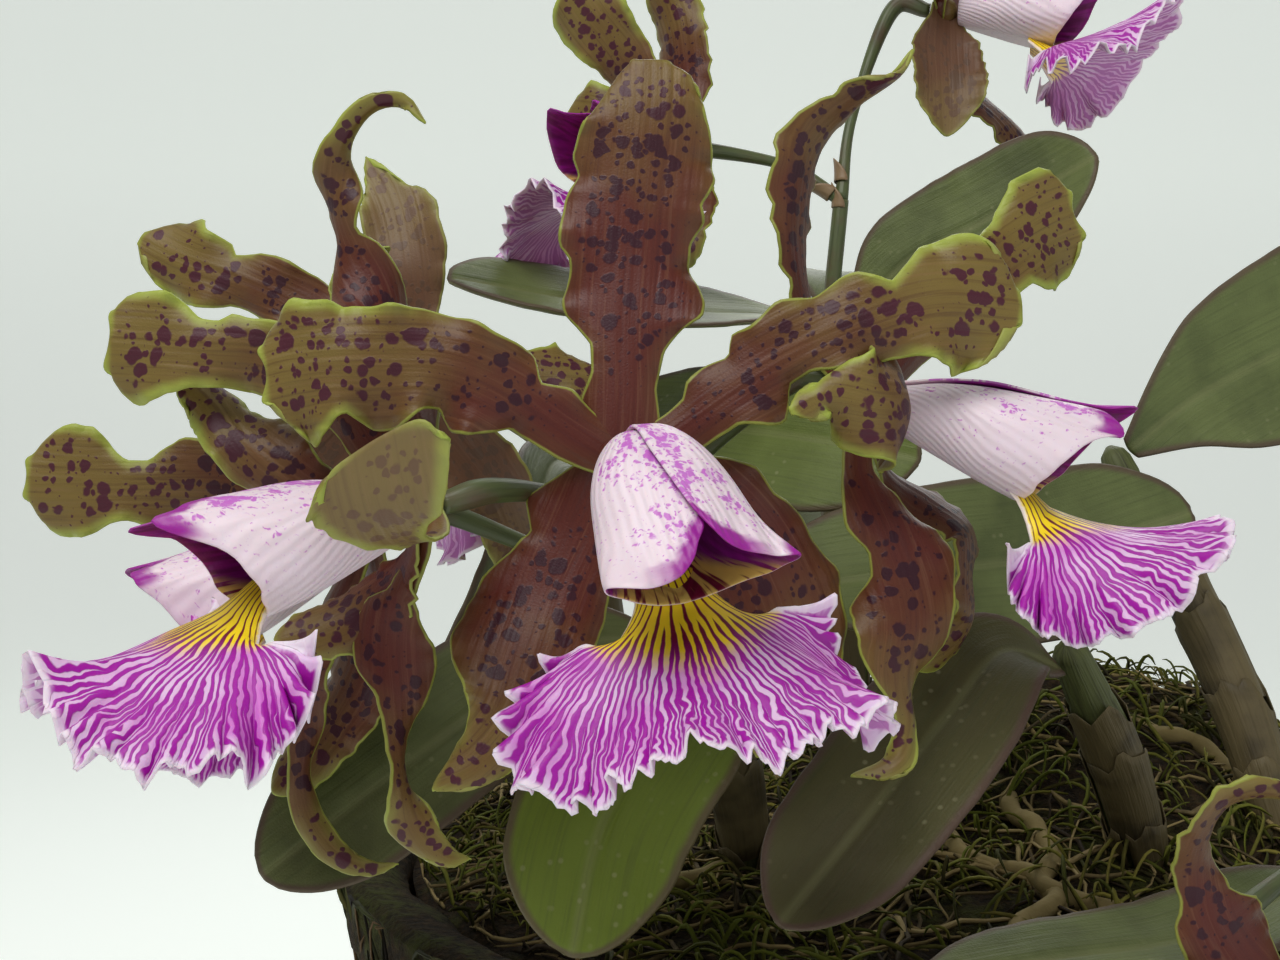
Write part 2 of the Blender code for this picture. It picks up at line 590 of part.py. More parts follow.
                    faces=((-0.6, -0.6, 0.4), (-0.5, -0.8, 0.2), (-0.4, -0.9, 0.2)),
                    width=14, cup=(0.5, 0.5, 0.8), waves=2.2, wave_height=1.2, phase=2.2,
                ),
                Blade(
                    spine=((0, 0, 0), (-5, 8, -9), (-9, 15, -17), (-13, 21, -25), (-16, 25, -33)),
                    faces=((-0.6, -0.8, -0.1), (-0.7, -0.5, 0.3), (-0.6, -0.7, 0.3)),
                    width=14, cup=(0.5, 0.5, 0.8), waves=2.2, wave_height=1.2, phase=0.4,
                ),
            ),
        ),
        Bloom(
            "bloom_back_right", (26, 28, 306), (0.93, -0.30, -0.10), horn=(35, 8, 6), pitch=-4,
            seed=0.2, rows=6, columns=2,
            lobe_grid=(5, 8),
            blades=(
                Blade(
                    spine=((0, 0, 0), (-2, 1, 11), (-5, 2, 21), (-7, 1, 30), (-6, -1, 38)),
                    faces=((0.8, -0.5, 0.3), (0.8, -0.5, 0.2), (0.7, -0.6, -0.2)),
                    width=15, cup=(0.5, 0.4, 0.8), waves=2.2, wave_height=1.3, phase=2.9,
                ),
                Blade(
                    spine=((0, 0, 0), (-1.5, -8, 6), (-7, -16, 11), (-13, -23, 14), (-19, -29, 14)),
                    faces=((0.9, -0.3, 0.2), (0.4, -0.5, 0.8), (0.2, -0.8, 0.6)),
                    width=17, outline=PETAL, cup=(0.4, 0.3, 0.6), waves=2.6, wave_height=1.5, phase=0.9,
                ),
                Blade(
                    spine=((0, 0, 0), (5, 8, 7), (11, 15, 14), (18, 20, 21), (26, 22, 27)),
                    faces=((0.6, -0.6, 0.3), (0.4, -0.9, 0.1), (0.2, -1, -0.1)),
                    width=17, outline=PETAL, cup=(0.4, 0.3, 0.6), waves=2.6, wave_height=1.6, phase=2.1,
                ),
                Blade(
                    spine=((0, 0, 0), (-1, -4, -11), (-1, -6, -19), (-2, -7, -27), (-3, -7, -35)),
                    faces=((0.4, -0.8, 0.3), (0.2, -1, 0.2), (0.1, -1, 0.2)),
                    width=17, cup=(0.5, 0.6, 0.9), waves=2.2, wave_height=1.2, phase=1.2,
                ),
                Blade(
                    spine=((0, 0, 0), (4, 12, -9), (12, 20, -14), (21, 24, -20), (28, 25, -29),
                        (32, 23, -40)),
                    faces=((0.9, -0.4, 0.1), (0.3, -0.7, 0.6), (0.5, -0.8, 0.3)),
                    width=14, cup=(0.5, 0.6, 0.8), waves=2.2, wave_height=1.2, phase=0.4,
                ),
            ),
        ),
        Bloom(
            "bloom_low_right", (36, -119, 131), (0.16, -0.86, -0.48), seed=2.0, rows=6,
            blades=(
                Blade(
                    spine=((0, 1, 0), (-3, 2, 9), (-7, 2, 18), (-10, 1, 25), (-7, -2, 30),
                        (-1, -4, 32), (6, -3, 30)),
                    faces=((0, -1, 0.2), (0, -1, 0.1), (0.3, -1, 0), (0.5, -0.7, -0.4),
                        (0.1, -0.6, -0.9)),
                    width=13, cup=(0.5, 0.5, 0.9), waves=2.2, wave_height=1.0, phase=2.6,
                ),
                Blade(
                    spine=((0, 0, 0), (-10, -3, 0), (-20, -7, 0), (-31, -11, -2), (-42, -13, -6)),
                    faces=((0, -1, 0.2), (0, -1, 0.2), (0, -1, 0.3)),
                    width=18, outline=PETAL, cup=(0.4, 0.3, 0.5), waves=3.0, wave_height=1.6, phase=1.4,
                ),
                Blade(
                    spine=((0, 0, 0), (9, 0, 4), (19, -1, 8), (29, -1, 11), (40, 2, 12)),
                    faces=((0, -1, 0.2), (0, -1, 0.1), (0.1, -1, 0.1)),
                    width=18, outline=PETAL, cup=(0.4, 0.3, 0.5), waves=3.0, wave_height=1.6, phase=0.2,
                ),
                Blade(
                    spine=((0, 0, 0), (-8, 2, -9), (-13, 0, -18), (-16, -3, -28), (-16, -5, -38)),
                    faces=((0, -1, 0.1), (-0.1, -1, 0.1), (0, -1, 0.1)),
                    width=17, cup=(0.5, 0.5, 0.8), waves=2.4, wave_height=1.3, phase=2.0,
                ),
                Blade(
                    spine=((0, 0, 0), (9, 2, -9), (16, 0, -18), (20, -3, -28), (21, -5, -38)),
                    faces=((0, -1, 0.1), (0.1, -1, 0.1), (0, -1, 0.1)),
                    width=17, cup=(0.5, 0.5, 0.8), waves=2.4, wave_height=1.3, phase=0.6,
                ),
            ),
        ),
    ]


# Where the canes stand in the medium, a point half-way and where their tops are, in mm
CANES = {
    "cane_front_left": ((-22, -20, 112), (-26, -28, 142), (-35, -41, 171)),
    "cane_right": ((82, -34, 110), (72, -20, 158), (54, -2, 205)),
    "cane_back": ((6, 36, 118), (4, 33, 176), (0, 27, 236)),
    "cane_front_right": ((52, -34, 118), (42, -44, 146), (29, -56, 170)),
    "cane_back_left": ((-44, 30, 112), (-52, 34, 160), (-58, 38, 204)),
    "cane_low_right": ((60, -48, 112), (66, -58, 124), (72, -68, 136)),
    "cane_rear_right": ((44, 56, 118), (46, 62, 146), (46, 70, 174)),
    "cane_rear_left": ((-24, 74, 112), (-28, 78, 148), (-34, 84, 182)),
}
CANE_RADII = (3.4, 4.6, 5.0, 4.2, 3.0)
SEAT_DROP = 2.0

# Stalks that carry the blooms: the cane, the trunk up to its fork, and the branch to each bloom, in mm
STALKS = {
    "stalk_front": (
        "cane_front_left",
        ((-39, -50, 183), (-42, -58, 189)),
        {
            "bloom_centre": ((-47, -76, 203),),
            "bloom_right": ((-36, -72, 200),),
            "bloom_left": ((-54, -80, 195),),
            "bloom_left_low": ((-56, -70, 186),),
            "bloom_left_far": ((-52, -64, 204), (-68, -66, 216)),
        },
    ),
    "stalk_back": (
        "cane_back",
        ((1, 26, 252), (2, 26, 262)),
        {"bloom_back_left": ((-10, 27, 270),), "bloom_back_right": ((5, 29, 282),)},
    ),
    "stalk_low_right": (
        "cane_low_right",
        ((76, -76, 146), (69, -86, 149)),
        {"bloom_low_right": ((54, -94, 144),)},
    ),
}
STALK_RADII = (1.9, 1.7, 1.3)

LEAF_CUP = (-0.5, -0.35, -0.25)
LEAF_ROWS = 6


def cane_top(cane):
    """The top of a cane in mm, and the direction that it points in."""
    below, top = (np.array(point, float) for point in CANES[cane][-2:])
    return top, unit(top - below)


def leaf(cane, seat, spine, faces, width):
    """A leaf from a seat in mm off the cane's axis, just under the cane's top, along a spine in mm."""
    top, upward = cane_top(cane)
    out = np.array(spine[0], float) - top
    out = unit(out - upward * np.dot(out, upward))
    start = top - upward * SEAT_DROP + out * seat
    return Blade((tuple(start), *spine), faces, width, LEAF, cup=LEAF_CUP, waves=1, wave_height=0.6, tip=0.3)


def leaf_list():
    """Every leaf, named by its place."""
    return {
        "leaf_left_low": leaf(
            "cane_front_left", 3.75, ((-54, -47, 169), (-70, -59, 160), (-88, -67, 147), (-104, -73, 135)),
            ((0, -0.6, 0.8), (0, -0.8, 0.6), (0.1, -0.9, 0.4)), 27,
        ),
        "leaf_right_broad": leaf(
            "cane_front_left", 3.45, ((-14, -39, 178), (8, -36, 181), (34, -33, 184), (60, -31, 192)),
            ((0, -0.5, 0.9), (0, -0.9, 0.4), (0, -1, 0.3)), 33,
        ),
        "leaf_centre_low": leaf(
            "cane_front_left", 3.55, ((-31, -60, 166), (-41, -74, 158), (-50, -83, 145), (-54, -90, 128)),
            ((0, -0.2, 1), (0, -0.7, 0.7), (0, -1, 0.2)), 29,
        ),
        "leaf_right_big": leaf(
            "cane_right", 3.92, ((72, -1, 215), (93, 0, 226), (117, 1, 236), (141, 3, 242)),
            ((0.1, -1, 0.1), (0, -1, 0.1), (0, -1, 0.3)), 40,
        ),
        "leaf_front_right": leaf(
            "cane_front_right", 4.51, ((15, -68, 170), (4, -77, 161), (-10, -88, 148), (-24, -98, 135)),
            ((-0.5, -0.8, 0.6), (-0.4, -0.8, 0.5), (-0.4, -0.8, 0.4)), 25,
        ),
        "leaf_back_right": leaf(
            "cane_back", 4.37, ((16, 21, 247), (30, 14, 254), (43, 7, 261), (52, 0, 266)),
            ((-0.2, -0.9, 0.4), (-0.3, -0.9, 0.3), (-0.2, -0.9, 0.4)), 28,
        ),
        "leaf_back_left": leaf(
            "cane_back", 3.35, ((-18, 12, 234), (-38, -4, 233), (-60, -18, 234), (-80, -30, 236)),
            ((0, -0.3, 1), (0, -0.5, 0.9), (0, -0.6, 0.8)), 30,
        ),
        "leaf_rear": leaf(
            "cane_back", 3.85, ((6, 44, 246), (14, 62, 250), (22, 82, 246), (28, 98, 236)),
            ((0, 0, 1), (0, 0.1, 1), (0, 0.3, 1)), 34,
        ),
        "leaf_behind": leaf(
            "cane_back_left", 3.65, ((-44, 23, 210), (-28, 4, 209), (-8, -14, 206), (10, -24, 202)),
            ((0.2, -0.9, 0.5), (0.1, -1, 0.3), (0, -1, 0.2)), 34,
        ),
        "leaf_behind_left": leaf(
            "cane_back_left", 3.5, ((-64, 18, 201), (-66, -4, 187), (-71, -24, 169), (-82, -38, 149)),
            ((0.5, -0.5, 0.6), (0.8, -0.6, 0.3), (0.8, -0.6, 0.1)), 24,
        ),
        "leaf_back_outer": leaf(
            "cane_back_left", 4.2, ((-74, 48, 214), (-92, 56, 220), (-112, 62, 220), (-128, 66, 214)),
            ((0, -0.3, 1), (0, -0.3, 1), (-0.2, -0.2, 1)), 32,
        ),
        "leaf_low_right": leaf(
            "cane_low_right", 3.58, ((56, -80, 134), (38, -89, 130), (16, -95, 129), (-4, -99, 127)),
            ((0, -0.3, 1), (0, -0.2, 1), (0, -0.2, 1)), 20,
        ),
        "leaf_rear_right": leaf(
            "cane_rear_right", 4.62, ((60, 80, 184), (73, 94, 188), (84, 108, 183), (92, 120, 172)),
            ((0, -0.2, 1), (0, 0, 1), (0.2, 0.3, 1)), 32,
        ),
        "leaf_rear_inner": leaf(
            "cane_rear_right", 4.56, ((34, 82, 184), (24, 99, 190), (12, 115, 187), (0, 128, 176)),
            ((0, -0.2, 1), (0, 0, 1), (0, 0.3, 1)), 30,
        ),
        "leaf_rear_left": leaf(
            "cane_rear_left", 4.14, ((-44, 96, 192), (-58, 108, 196), (-74, 118, 192), (-88, 126, 182)),
            ((0, -0.2, 1), (0, 0, 1), (-0.1, 0.3, 1)), 32,
        ),
    }


def turned(name, profile, sides, finish, group):
    """A shape turned about Z from a profile of (radius, height) points that starts and ends on the axis."""
    bm = bmesh.new()
    corners = [bm.verts.new((radius, 0, height)) for radius, height in profile]
    for first, second in zip(corners, corners[1:]):
        bm.edges.new((first, second))
    mesh = bpy.data.meshes.new(name)
    bm.to_mesh(mesh)
    bm.free()
    made = new_object(name, mesh, finish, group)
    screw = made.modifiers.new("turn", "SCREW")
    screw.steps = screw.render_steps = sides
    screw.use_merge_vertices = True
    screw.merge_threshold = 0.00002
    return made


def build_pot(finish, group):
    """The fibre pot: a turned wall and floor, open at the top."""
    profile = (
        (0, POT_FLOOR), (POT_BASE_RADIUS - POT_WALL, POT_FLOOR),
        (POT_RIM_RADIUS - POT_WALL, POT_HEIGHT - RIM_ROUND),
        (POT_RIM_RADIUS - 4 * MM, POT_HEIGHT), (POT_RIM_RADIUS, POT_HEIGHT - RIM_ROUND),
        (POT_BASE_RADIUS, 0), (0, 0),
    )
    return turned("pot", profile, POT_SIDES, finish, group)


def mound_height(x, y):
    """The medium's surface above the pot's rim, in metres: highest towards the back right, with lumps."""
    share = np.hypot(x, y) / (POT_RIM_RADIUS - POT_WALL)
    away = np.hypot(x - MOUND_TOP[0], y - MOUND_TOP[1]) / MOUND_SPREAD
    swell = MOUND_EDGE + MOUND_RISE * np.exp(-(away**2))
    lumps = 1.2 * MM * np.sin(x / (11 * MM) + 1) * np.cos(y / (13 * MM))
    return (swell + lumps) * np.clip(1 - share**6, 0, 1) - 4 * MM


# Roots that creep over the medium: start angle, start radius and sweep, in degrees and mm
ROOTS = ((-100, 24, 34), (-66, 30, -30), (-128, 38, -26), (-15, 40, -28), (150, 30, 34))


def build_medium(finish, group):
    """Fibre and moss that fill the pot in a mound, with creeping roots and a hole for each cane."""
    shell = POT_RIM_RADIUS - POT_WALL - FIT_GAP - 0.9 * MM
    foot = POT_BASE_RADIUS - POT_WALL - FIT_GAP
    low, edge = POT_FLOOR + FIT_GAP, POT_HEIGHT - 6 * MM
    bm = bmesh.new()
    rings = []
    for ring in range(MOUND_RINGS, 0, -1):
        turn = np.linspace(0, 2 * math.pi, POT_SIDES, endpoint=False)
        reach = shell * ring / MOUND_RINGS
        x, y = reach * np.cos(turn), reach * np.sin(turn)
        z = np.full(POT_SIDES, edge) if ring == MOUND_RINGS else POT_HEIGHT + mound_height(x, y)
        rings.append([bm.verts.new(spot) for spot in zip(x, y, z)])
    narrow = foot / shell
    rings.insert(0, [bm.verts.new((narrow * v.co.x, narrow * v.co.y, low)) for v in rings[0]])
    top = bm.verts.new((0, 0, POT_HEIGHT + float(mound_height(0.0, 0.0))))
    for i in range(POT_SIDES):
        j = (i + 1) % POT_SIDES
        for lower, upper in zip(rings, rings[1:]):
            bm.faces.new((lower[i], lower[j], upper[j], upper[i]))
        bm.faces.new((rings[-1][i], rings[-1][j], top))
    bm.faces.new(rings[0][::-1])
    mesh = bpy.data.meshes.new("mound")
    bm.to_mesh(mesh)
    bm.free()
    pieces = [new_object("mound", mesh, None, group)]
    for angle, start, sweep in ROOTS:
        share = np.linspace(0, 1, 5)
        turn = np.radians(angle + sweep * share)
        reach = (start + (shell / MM - 12 - start) * share) * MM
        x, y = reach * np.cos(turn), reach * np.sin(turn)
        z = POT_HEIGHT + mound_height(x, y) + 0.8 * MM - 3.0 * MM * (2 * share - 1) ** 6
        pieces.append(stem(np.stack([x, y, z], axis=1) / MM, (2.0, 1.8, 1.6), 4, group, steps=4))
    medium = fuse("medium_with_roots", pieces, finish, group)
    cutters = bpy.data.collections.new("cutters")
    bpy.context.scene.collection.children.link(cutters)
    for name, points in CANES.items():
        route = [np.array(point) + PLANTED for point in points]
        route[0] = route[0] - unit(route[1] - route[0]) * HOLE_CLEARANCE
        hole = stem(route, [radius + HOLE_CLEARANCE for radius in CANE_RADII], 8, cutters, steps=5)
        hole.name = f"hole_{name}"
        hole.hide_render = True
        hole.display_type = "WIRE"
        cut = medium.modifiers.new(hole.name, "BOOLEAN")
        cut.operation = "DIFFERENCE"
        cut.object = hole
    return medium


def build_stalks(blooms, finish, group):
    """The flower stalks, each forked to reach the backs of its blooms."""
    backs = {bloom.name: bloom.neck() for bloom in blooms}
    for name, (cane, trunk, branches) in STALKS.items():
        top, upward = cane_top(cane)
        start = [top + upward * SEAT_GAP, top + upward * 3]
        route = [point + PLANTED for point in (*start, *np.array(trunk, float))]
        stems = [stem(route, STALK_RADII[:2], 6, group, steps=3)]
        for bloom_name, points in branches.items():
            route = [np.array(point, float) + PLANTED for point in (trunk[-1], *points)]
            stems.append(stem([*route, *backs[bloom_name]], STALK_RADII, 6, group, steps=4))
        fuse(name, stems, finish, group)


def build_plant():
    """The whole object, in one collection."""
    for obj in list(bpy.data.objects):
        bpy.data.objects.remove(obj)
    group = bpy.data.collections.new("cattleya_orchid")
    bpy.context.scene.collection.children.link(group)
    finishes = {
        "tepal": material("tepal_olive_brown", TEPAL_BROWN, 0.42),
        "lip": material("lip_magenta_white", LIP_MAGENTA, 0.5),
        "column": material("column_white_purple", COLUMN_WHITE, 0.5),
        "stalk": material("stalk_green", STALK_GREEN, 0.45),
        "cane": material("cane_green", CANE_GREEN, 0.5),
        "leaf": material("leaf_olive_green", LEAF_GREEN, 0.4),
        "fibre": material("tree_fern_fibre", FIBRE_BROWN, 0.95),
        "moss": material("moss_and_roots", MOSS_GREEN, 0.95),
    }
    build_pot(finishes["fibre"], group)
    build_medium(finishes["moss"], group)
    for name, points in CANES.items():
        cane = stem([np.array(point) + PLANTED for point in points], CANE_RADII, 8, group, steps=5)
        fuse(name, [cane], finishes["cane"], group)
    blooms = bloom_list()
    build_stalks(blooms, finishes["stalk"], group)
    for name, blade in leaf_list().items():

        def spot(along, across, blade=blade):
            return PLANTED + blade.points(along, across)

        fuse(name, [sheet(spot, LEAF_ROWS, 2, LEAF_THICK, group)], finishes["leaf"], group)
    for bloom in blooms:
        bloom.build(finishes, group)


build_plant()
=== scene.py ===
"""A cattleya orchid in flower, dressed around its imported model.

Lengths are in mm in the plant's own coordinates until a piece is made; PLANTED moves them to the pot's frame.
"""

import logging
import math
from dataclasses import dataclass, field
from enum import Enum
from functools import cache
from typing import Callable, Sequence

import bpy
import numpy as np
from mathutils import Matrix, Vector

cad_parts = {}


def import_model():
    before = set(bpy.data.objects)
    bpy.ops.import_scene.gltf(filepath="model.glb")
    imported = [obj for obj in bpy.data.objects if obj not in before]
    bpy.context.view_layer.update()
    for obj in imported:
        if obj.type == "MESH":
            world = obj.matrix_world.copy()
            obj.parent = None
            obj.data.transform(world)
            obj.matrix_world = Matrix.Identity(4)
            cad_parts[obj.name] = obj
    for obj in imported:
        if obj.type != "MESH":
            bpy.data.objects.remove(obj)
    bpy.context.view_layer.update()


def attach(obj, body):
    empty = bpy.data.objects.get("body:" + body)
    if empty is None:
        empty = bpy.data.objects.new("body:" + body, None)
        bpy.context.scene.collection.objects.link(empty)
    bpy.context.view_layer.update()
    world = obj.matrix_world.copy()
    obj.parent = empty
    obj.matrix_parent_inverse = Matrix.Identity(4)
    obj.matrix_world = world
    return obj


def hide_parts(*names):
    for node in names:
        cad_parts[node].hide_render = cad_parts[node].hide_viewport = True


LOG = logging.getLogger("orchid")
Array = np.ndarray
Stations = Sequence[Sequence[float]]

MM = 0.001
TURN = 2 * math.pi
BODY = "root"
PLANTED = np.array((-18.0, -15.0, 0.0))

SEPAL = (0.42, 0.50, 0.72, 0.92, 1.0, 0.98, 0.88, 0.72, 0.52)
PETAL = (0.34, 0.42, 0.62, 0.74, 0.72, 0.80, 0.95, 1.0, 0.80)
LEAF = (0.12, 0.44, 0.78, 0.93, 1.0, 0.99, 0.95, 0.86, 0.70)
LOBE = (1.0, 1.0, 1.04, 1.08, 1.07, 1.0, 0.82, 0.60)

# How far a sheet's rim bulges, as a share of half its thickness
RIM_BULGE = 0.8
# A direction that no cane, stalk or root points in
ASIDE = (0.31, 0.95, 0.05)
# The pitch and height of the waves that a wobble adds up
WAVES = ((0.61, 0.45), (1.0, 0.55), (1.63, 0.35))
# Weights that round the corners of a traced edge, and the steps that it is read at
ROUNDING = np.array((1, 2, 3, 4, 3, 2, 1)) / 16
TRACE_STEPS = 300


def unit(vectors: Array) -> Array:
    """Each vector at length 1."""
    return vectors / np.maximum(np.linalg.norm(vectors, axis=-1, keepdims=True), 1e-9)


def rise(value: Array | float, low: float, high: float) -> Array:
    """A smooth step.

    Args:
        value: Where to read the step.
        low: Where it starts to leave 0.
        high: Where it reaches 1.

    Returns:
        Shares from 0 to 1.
    """
    share = np.clip((value - low) / (high - low), 0, 1)
    return share * share * (3 - 2 * share)


def smooth(stations: Array | Stations, share: Array) -> Array:
    """Values on a smooth curve through evenly spaced stations.

    Args:
        stations: A number or a point for each station, or an array of them for each place read.
        share: Places from 0 to 1 along the curve.

    Returns:
        One row for each place.
    """
    p = np.asarray(stations, float)
    spans = len(p) - 1
    p = np.concatenate([2 * p[:1] - p[1:2], p, 2 * p[-1:] - p[-2:-1]])
    place = np.clip(share, 0, 1) * spans
    i = np.minimum(place.astype(int), spans - 1)
    f = place - i
    if p.ndim == 3:
        a, b, c, d = (p[i + k, np.arange(len(i))] for k in range(4))
    else:
        a, b, c, d = (p[i + k] for k in range(4))
    if p.ndim > 1:
        f = f[:, None]
    bend = 2 * a - 5 * b + 4 * c - d
    return 0.5 * (2 * b + (c - a) * f + bend * f**2 + (3 * b - 3 * c + d - a) * f**3)


def wobble(place: Array, seed: float, cycles: float) -> Array:
    """An uneven wave.

    Args:
        place: Where to read it, one cycle's set to each unit.
        seed: Picks the wave's phases.
        cycles: About how many waves there are in each unit.

    Returns:
        Heights of about -1 to 1.
    """
    draw = np.random.default_rng(int(abs(seed) * 1000) + 7)
    total = np.zeros_like(place, float)
    for part, weight in WAVES:
        total += weight * np.sin(TURN * (cycles * part * place + draw.random()))
    return total


def traced(pairs: Stations, along: Array) -> Array:
    """Half-widths along an uneven edge.

    Args:
        pairs: Places along the blade from 0 to 1, each with its half-width in mm.
        along: Where to read them.

    Returns:
        The half-widths, with corners rounded off.
    """
    places, halves = zip(*pairs)
    fine = np.linspace(0, 1, TRACE_STEPS)
    raw = np.pad(np.interp(fine, places, halves), len(ROUNDING) // 2, mode="edge")
    soft = np.convolve(raw, ROUNDING, mode="valid")
    return np.interp(along, fine, soft)


def fan(side: Array, other: Array, angle: Array) -> Array:
    """Directions at angles round a line, from side towards other."""
    return side * np.cos(angle)[..., None] + other * np.sin(angle)[..., None]


def upright(reach: Array, turn: Array, z: Array) -> Array:
    """Points at a reach, an angle and a height round the upright axis."""
    return np.stack(np.broadcast_arrays(reach * np.cos(turn), reach * np.sin(turn), z), axis=-1)


def tubes(count: int, rings: int, sides: int) -> list[Array]:
    """The faces of tubes that are closed at both ends.

    Args:
        count: How many tubes.
        rings: Rings of points in each.
        sides: Points in each ring.

    Returns:
        The walls and the ends, as rows of point numbers.
    """
    n = np.arange(count * rings * sides).reshape(count, rings, sides)
    beside = np.roll(n, -1, axis=2)
    walls = np.stack([n[:, :-1], beside[:, :-1], beside[:, 1:], n[:, 1:]], axis=-1).reshape(-1, 4)
    return [walls, np.concatenate([n[:, 0, ::-1], n[:, -1]])]


def net(share: Array, columns: int, first: float, last: float) -> tuple[Array, Array]:
    """Places on a sheet: shares along it, and columns from first to last across it."""
    return np.meshgrid(share, np.linspace(first, last, columns), indexing="ij")


class Shell:
    """Points, faces and named values gathered for one piece."""

    def __init__(self) -> None:
        """Starts empty."""
        self.points: list[Array] = []
        self.faces: list[list[int]] = []
        self.values: list[dict[str, Array]] = []
        self.count = 0

    def add(self, points: Array, faces: Sequence[Array], values: dict[str, Array]) -> "Shell":
        """Adds a body.

        Args:
            points: Its points in mm.
            faces: Arrays of point numbers, one row a face.
            values: Named numbers or vectors, one for each point.

        Returns:
            The shell.
        """
        self.points.append(points)
        for rows in faces:
            self.faces.extend((rows + self.count).tolist())
        self.values.append(values)
        self.count += len(points)
        return self

    def sheet(self, surface: Array, thickness: Array | float, values: dict[str, Array | float]) -> "Shell":
        """Adds a grid of points as a thin closed sheet with a rounded rim.

        Args:
            surface: Points in mm, rows by columns.
            thickness: In mm, for all or for each point.
            values: Named values for all or for each point of the grid.

        Returns:
            The shell.
        """
        rows, columns = surface.shape[:2]
        normal = unit(np.cross(np.gradient(surface, axis=0), np.gradient(surface, axis=1)))
        half = 0.5 * np.broadcast_to(thickness, rows * columns).reshape(rows, columns, 1)
        n = np.arange(rows * columns).reshape(rows, columns)
        top = np.stack([n[:-1, :-1], n[1:, :-1], n[1:, 1:], n[:-1, 1:]], axis=-1).reshape(-1, 4)
        rim = np.concatenate([n[:-1, 0], n[-1, :-1], n[:0:-1, -1], n[0, :0:-1]])
        edge = surface.reshape(-1, 3)[rim]
        heading = np.roll(edge, -1, axis=0) - np.roll(edge, 1, axis=0)
        out = unit(np.cross(heading, normal.reshape(-1, 3)[rim]))
        brim = edge + out * half.reshape(-1, 1)[rim] * RIM_BULGE
        size = n.size
        middle = 2 * size + np.arange(len(rim))
        after = np.roll(middle, -1)
        following = np.roll(rim, -1)
        faces = [
            top,
            top[:, ::-1] + size,
            np.stack([middle, after, following, rim], axis=-1),
            np.stack([rim + size, following + size, after, middle], axis=-1),
        ]
        over, under = (surface + normal * half).reshape(-1, 3), (surface - normal * half).reshape(-1, 3)
        told = {"face": np.concatenate([np.ones(size), -np.ones(size), np.zeros(len(rim))])}
        for name, value in values.items():
            each = np.asarray(value, float)
            each = each.reshape(size, -1).squeeze() if each.ndim else np.full(size, float(each))
            told[name] = np.concatenate([each, each, each[rim]])
        return self.add(np.concatenate([over, under, brim]), faces, told)

    def rod(self, line: Array, radii: Array, sides: int, values: dict[str, float] | None = None) -> "Shell":
        """Adds a round rod with closed ends.

        Args:
            line: Its centre line, in mm.
            radii: Its radius in mm at each point, or at each point and side.
            sides: How many sides it has.
            values: Named numbers for the whole rod. It also gets along and flat.

        Returns:
            The shell.
        """
        heading = unit(np.gradient(line, axis=0))
        side = np.zeros_like(line)
        side[0] = unit(np.cross(heading[0], ASIDE))
        for i in range(1, len(line)):
            side[i] = unit(side[i - 1] - heading[i] * np.dot(side[i - 1], heading[i]))
        other = np.cross(heading, side)
        turn = np.linspace(0, TURN, sides, endpoint=False)
        reach = np.asarray(radii, float).reshape(len(line), -1)[..., None]
        points = (line[:, None] + fan(side[:, None], other[:, None], turn) * reach).reshape(-1, 3)
        length = np.concatenate([[0], np.cumsum(np.linalg.norm(np.diff(line, axis=0), axis=1))])
        told = {name: np.full(len(points), float(value)) for name, value in (values or {}).items()}
        told["along"] = np.repeat(length / length[-1], sides)
        x, z = (float(np.max(reach)) * np.tile(wave(turn), len(line)) for wave in (np.cos, np.sin))
        told["flat"] = np.stack([x, np.repeat(length, sides), z], axis=1)
        return self.add(points, tubes(1, len(line), sides), told)

    def make(self, name: str) -> bpy.types.Object:
        """The gathered bodies as one smooth object in the pot's frame.

        Args:
            name: The object's name.

        Returns:
            The object, linked to the scene.
        """
        mesh = bpy.data.meshes.new(name)
        points = (np.concatenate(self.points) + PLANTED) * MM
        mesh.from_pydata(points, [], self.faces)
        for told in sorted({key for values in self.values for key in values}):
            wide = any(np.ndim(values.get(told, 0)) == 2 for values in self.values)
            kind = "FLOAT_VECTOR" if wide else "FLOAT"
            parts = []
            for spots, values in zip(self.points, self.values):
                blank = np.zeros((len(spots), 3)) if wide else np.zeros(len(spots))
                parts.append(values.get(told, blank))
            layer = mesh.attributes.new(told, kind, "POINT")
            numbers = np.concatenate(parts).ravel().astype(np.float32)
            layer.data.foreach_set("vector" if wide else "value", numbers)
        mesh.shade_smooth()
        made = bpy.data.objects.new(name, mesh)
        bpy.context.scene.collection.objects.link(made)
        return made


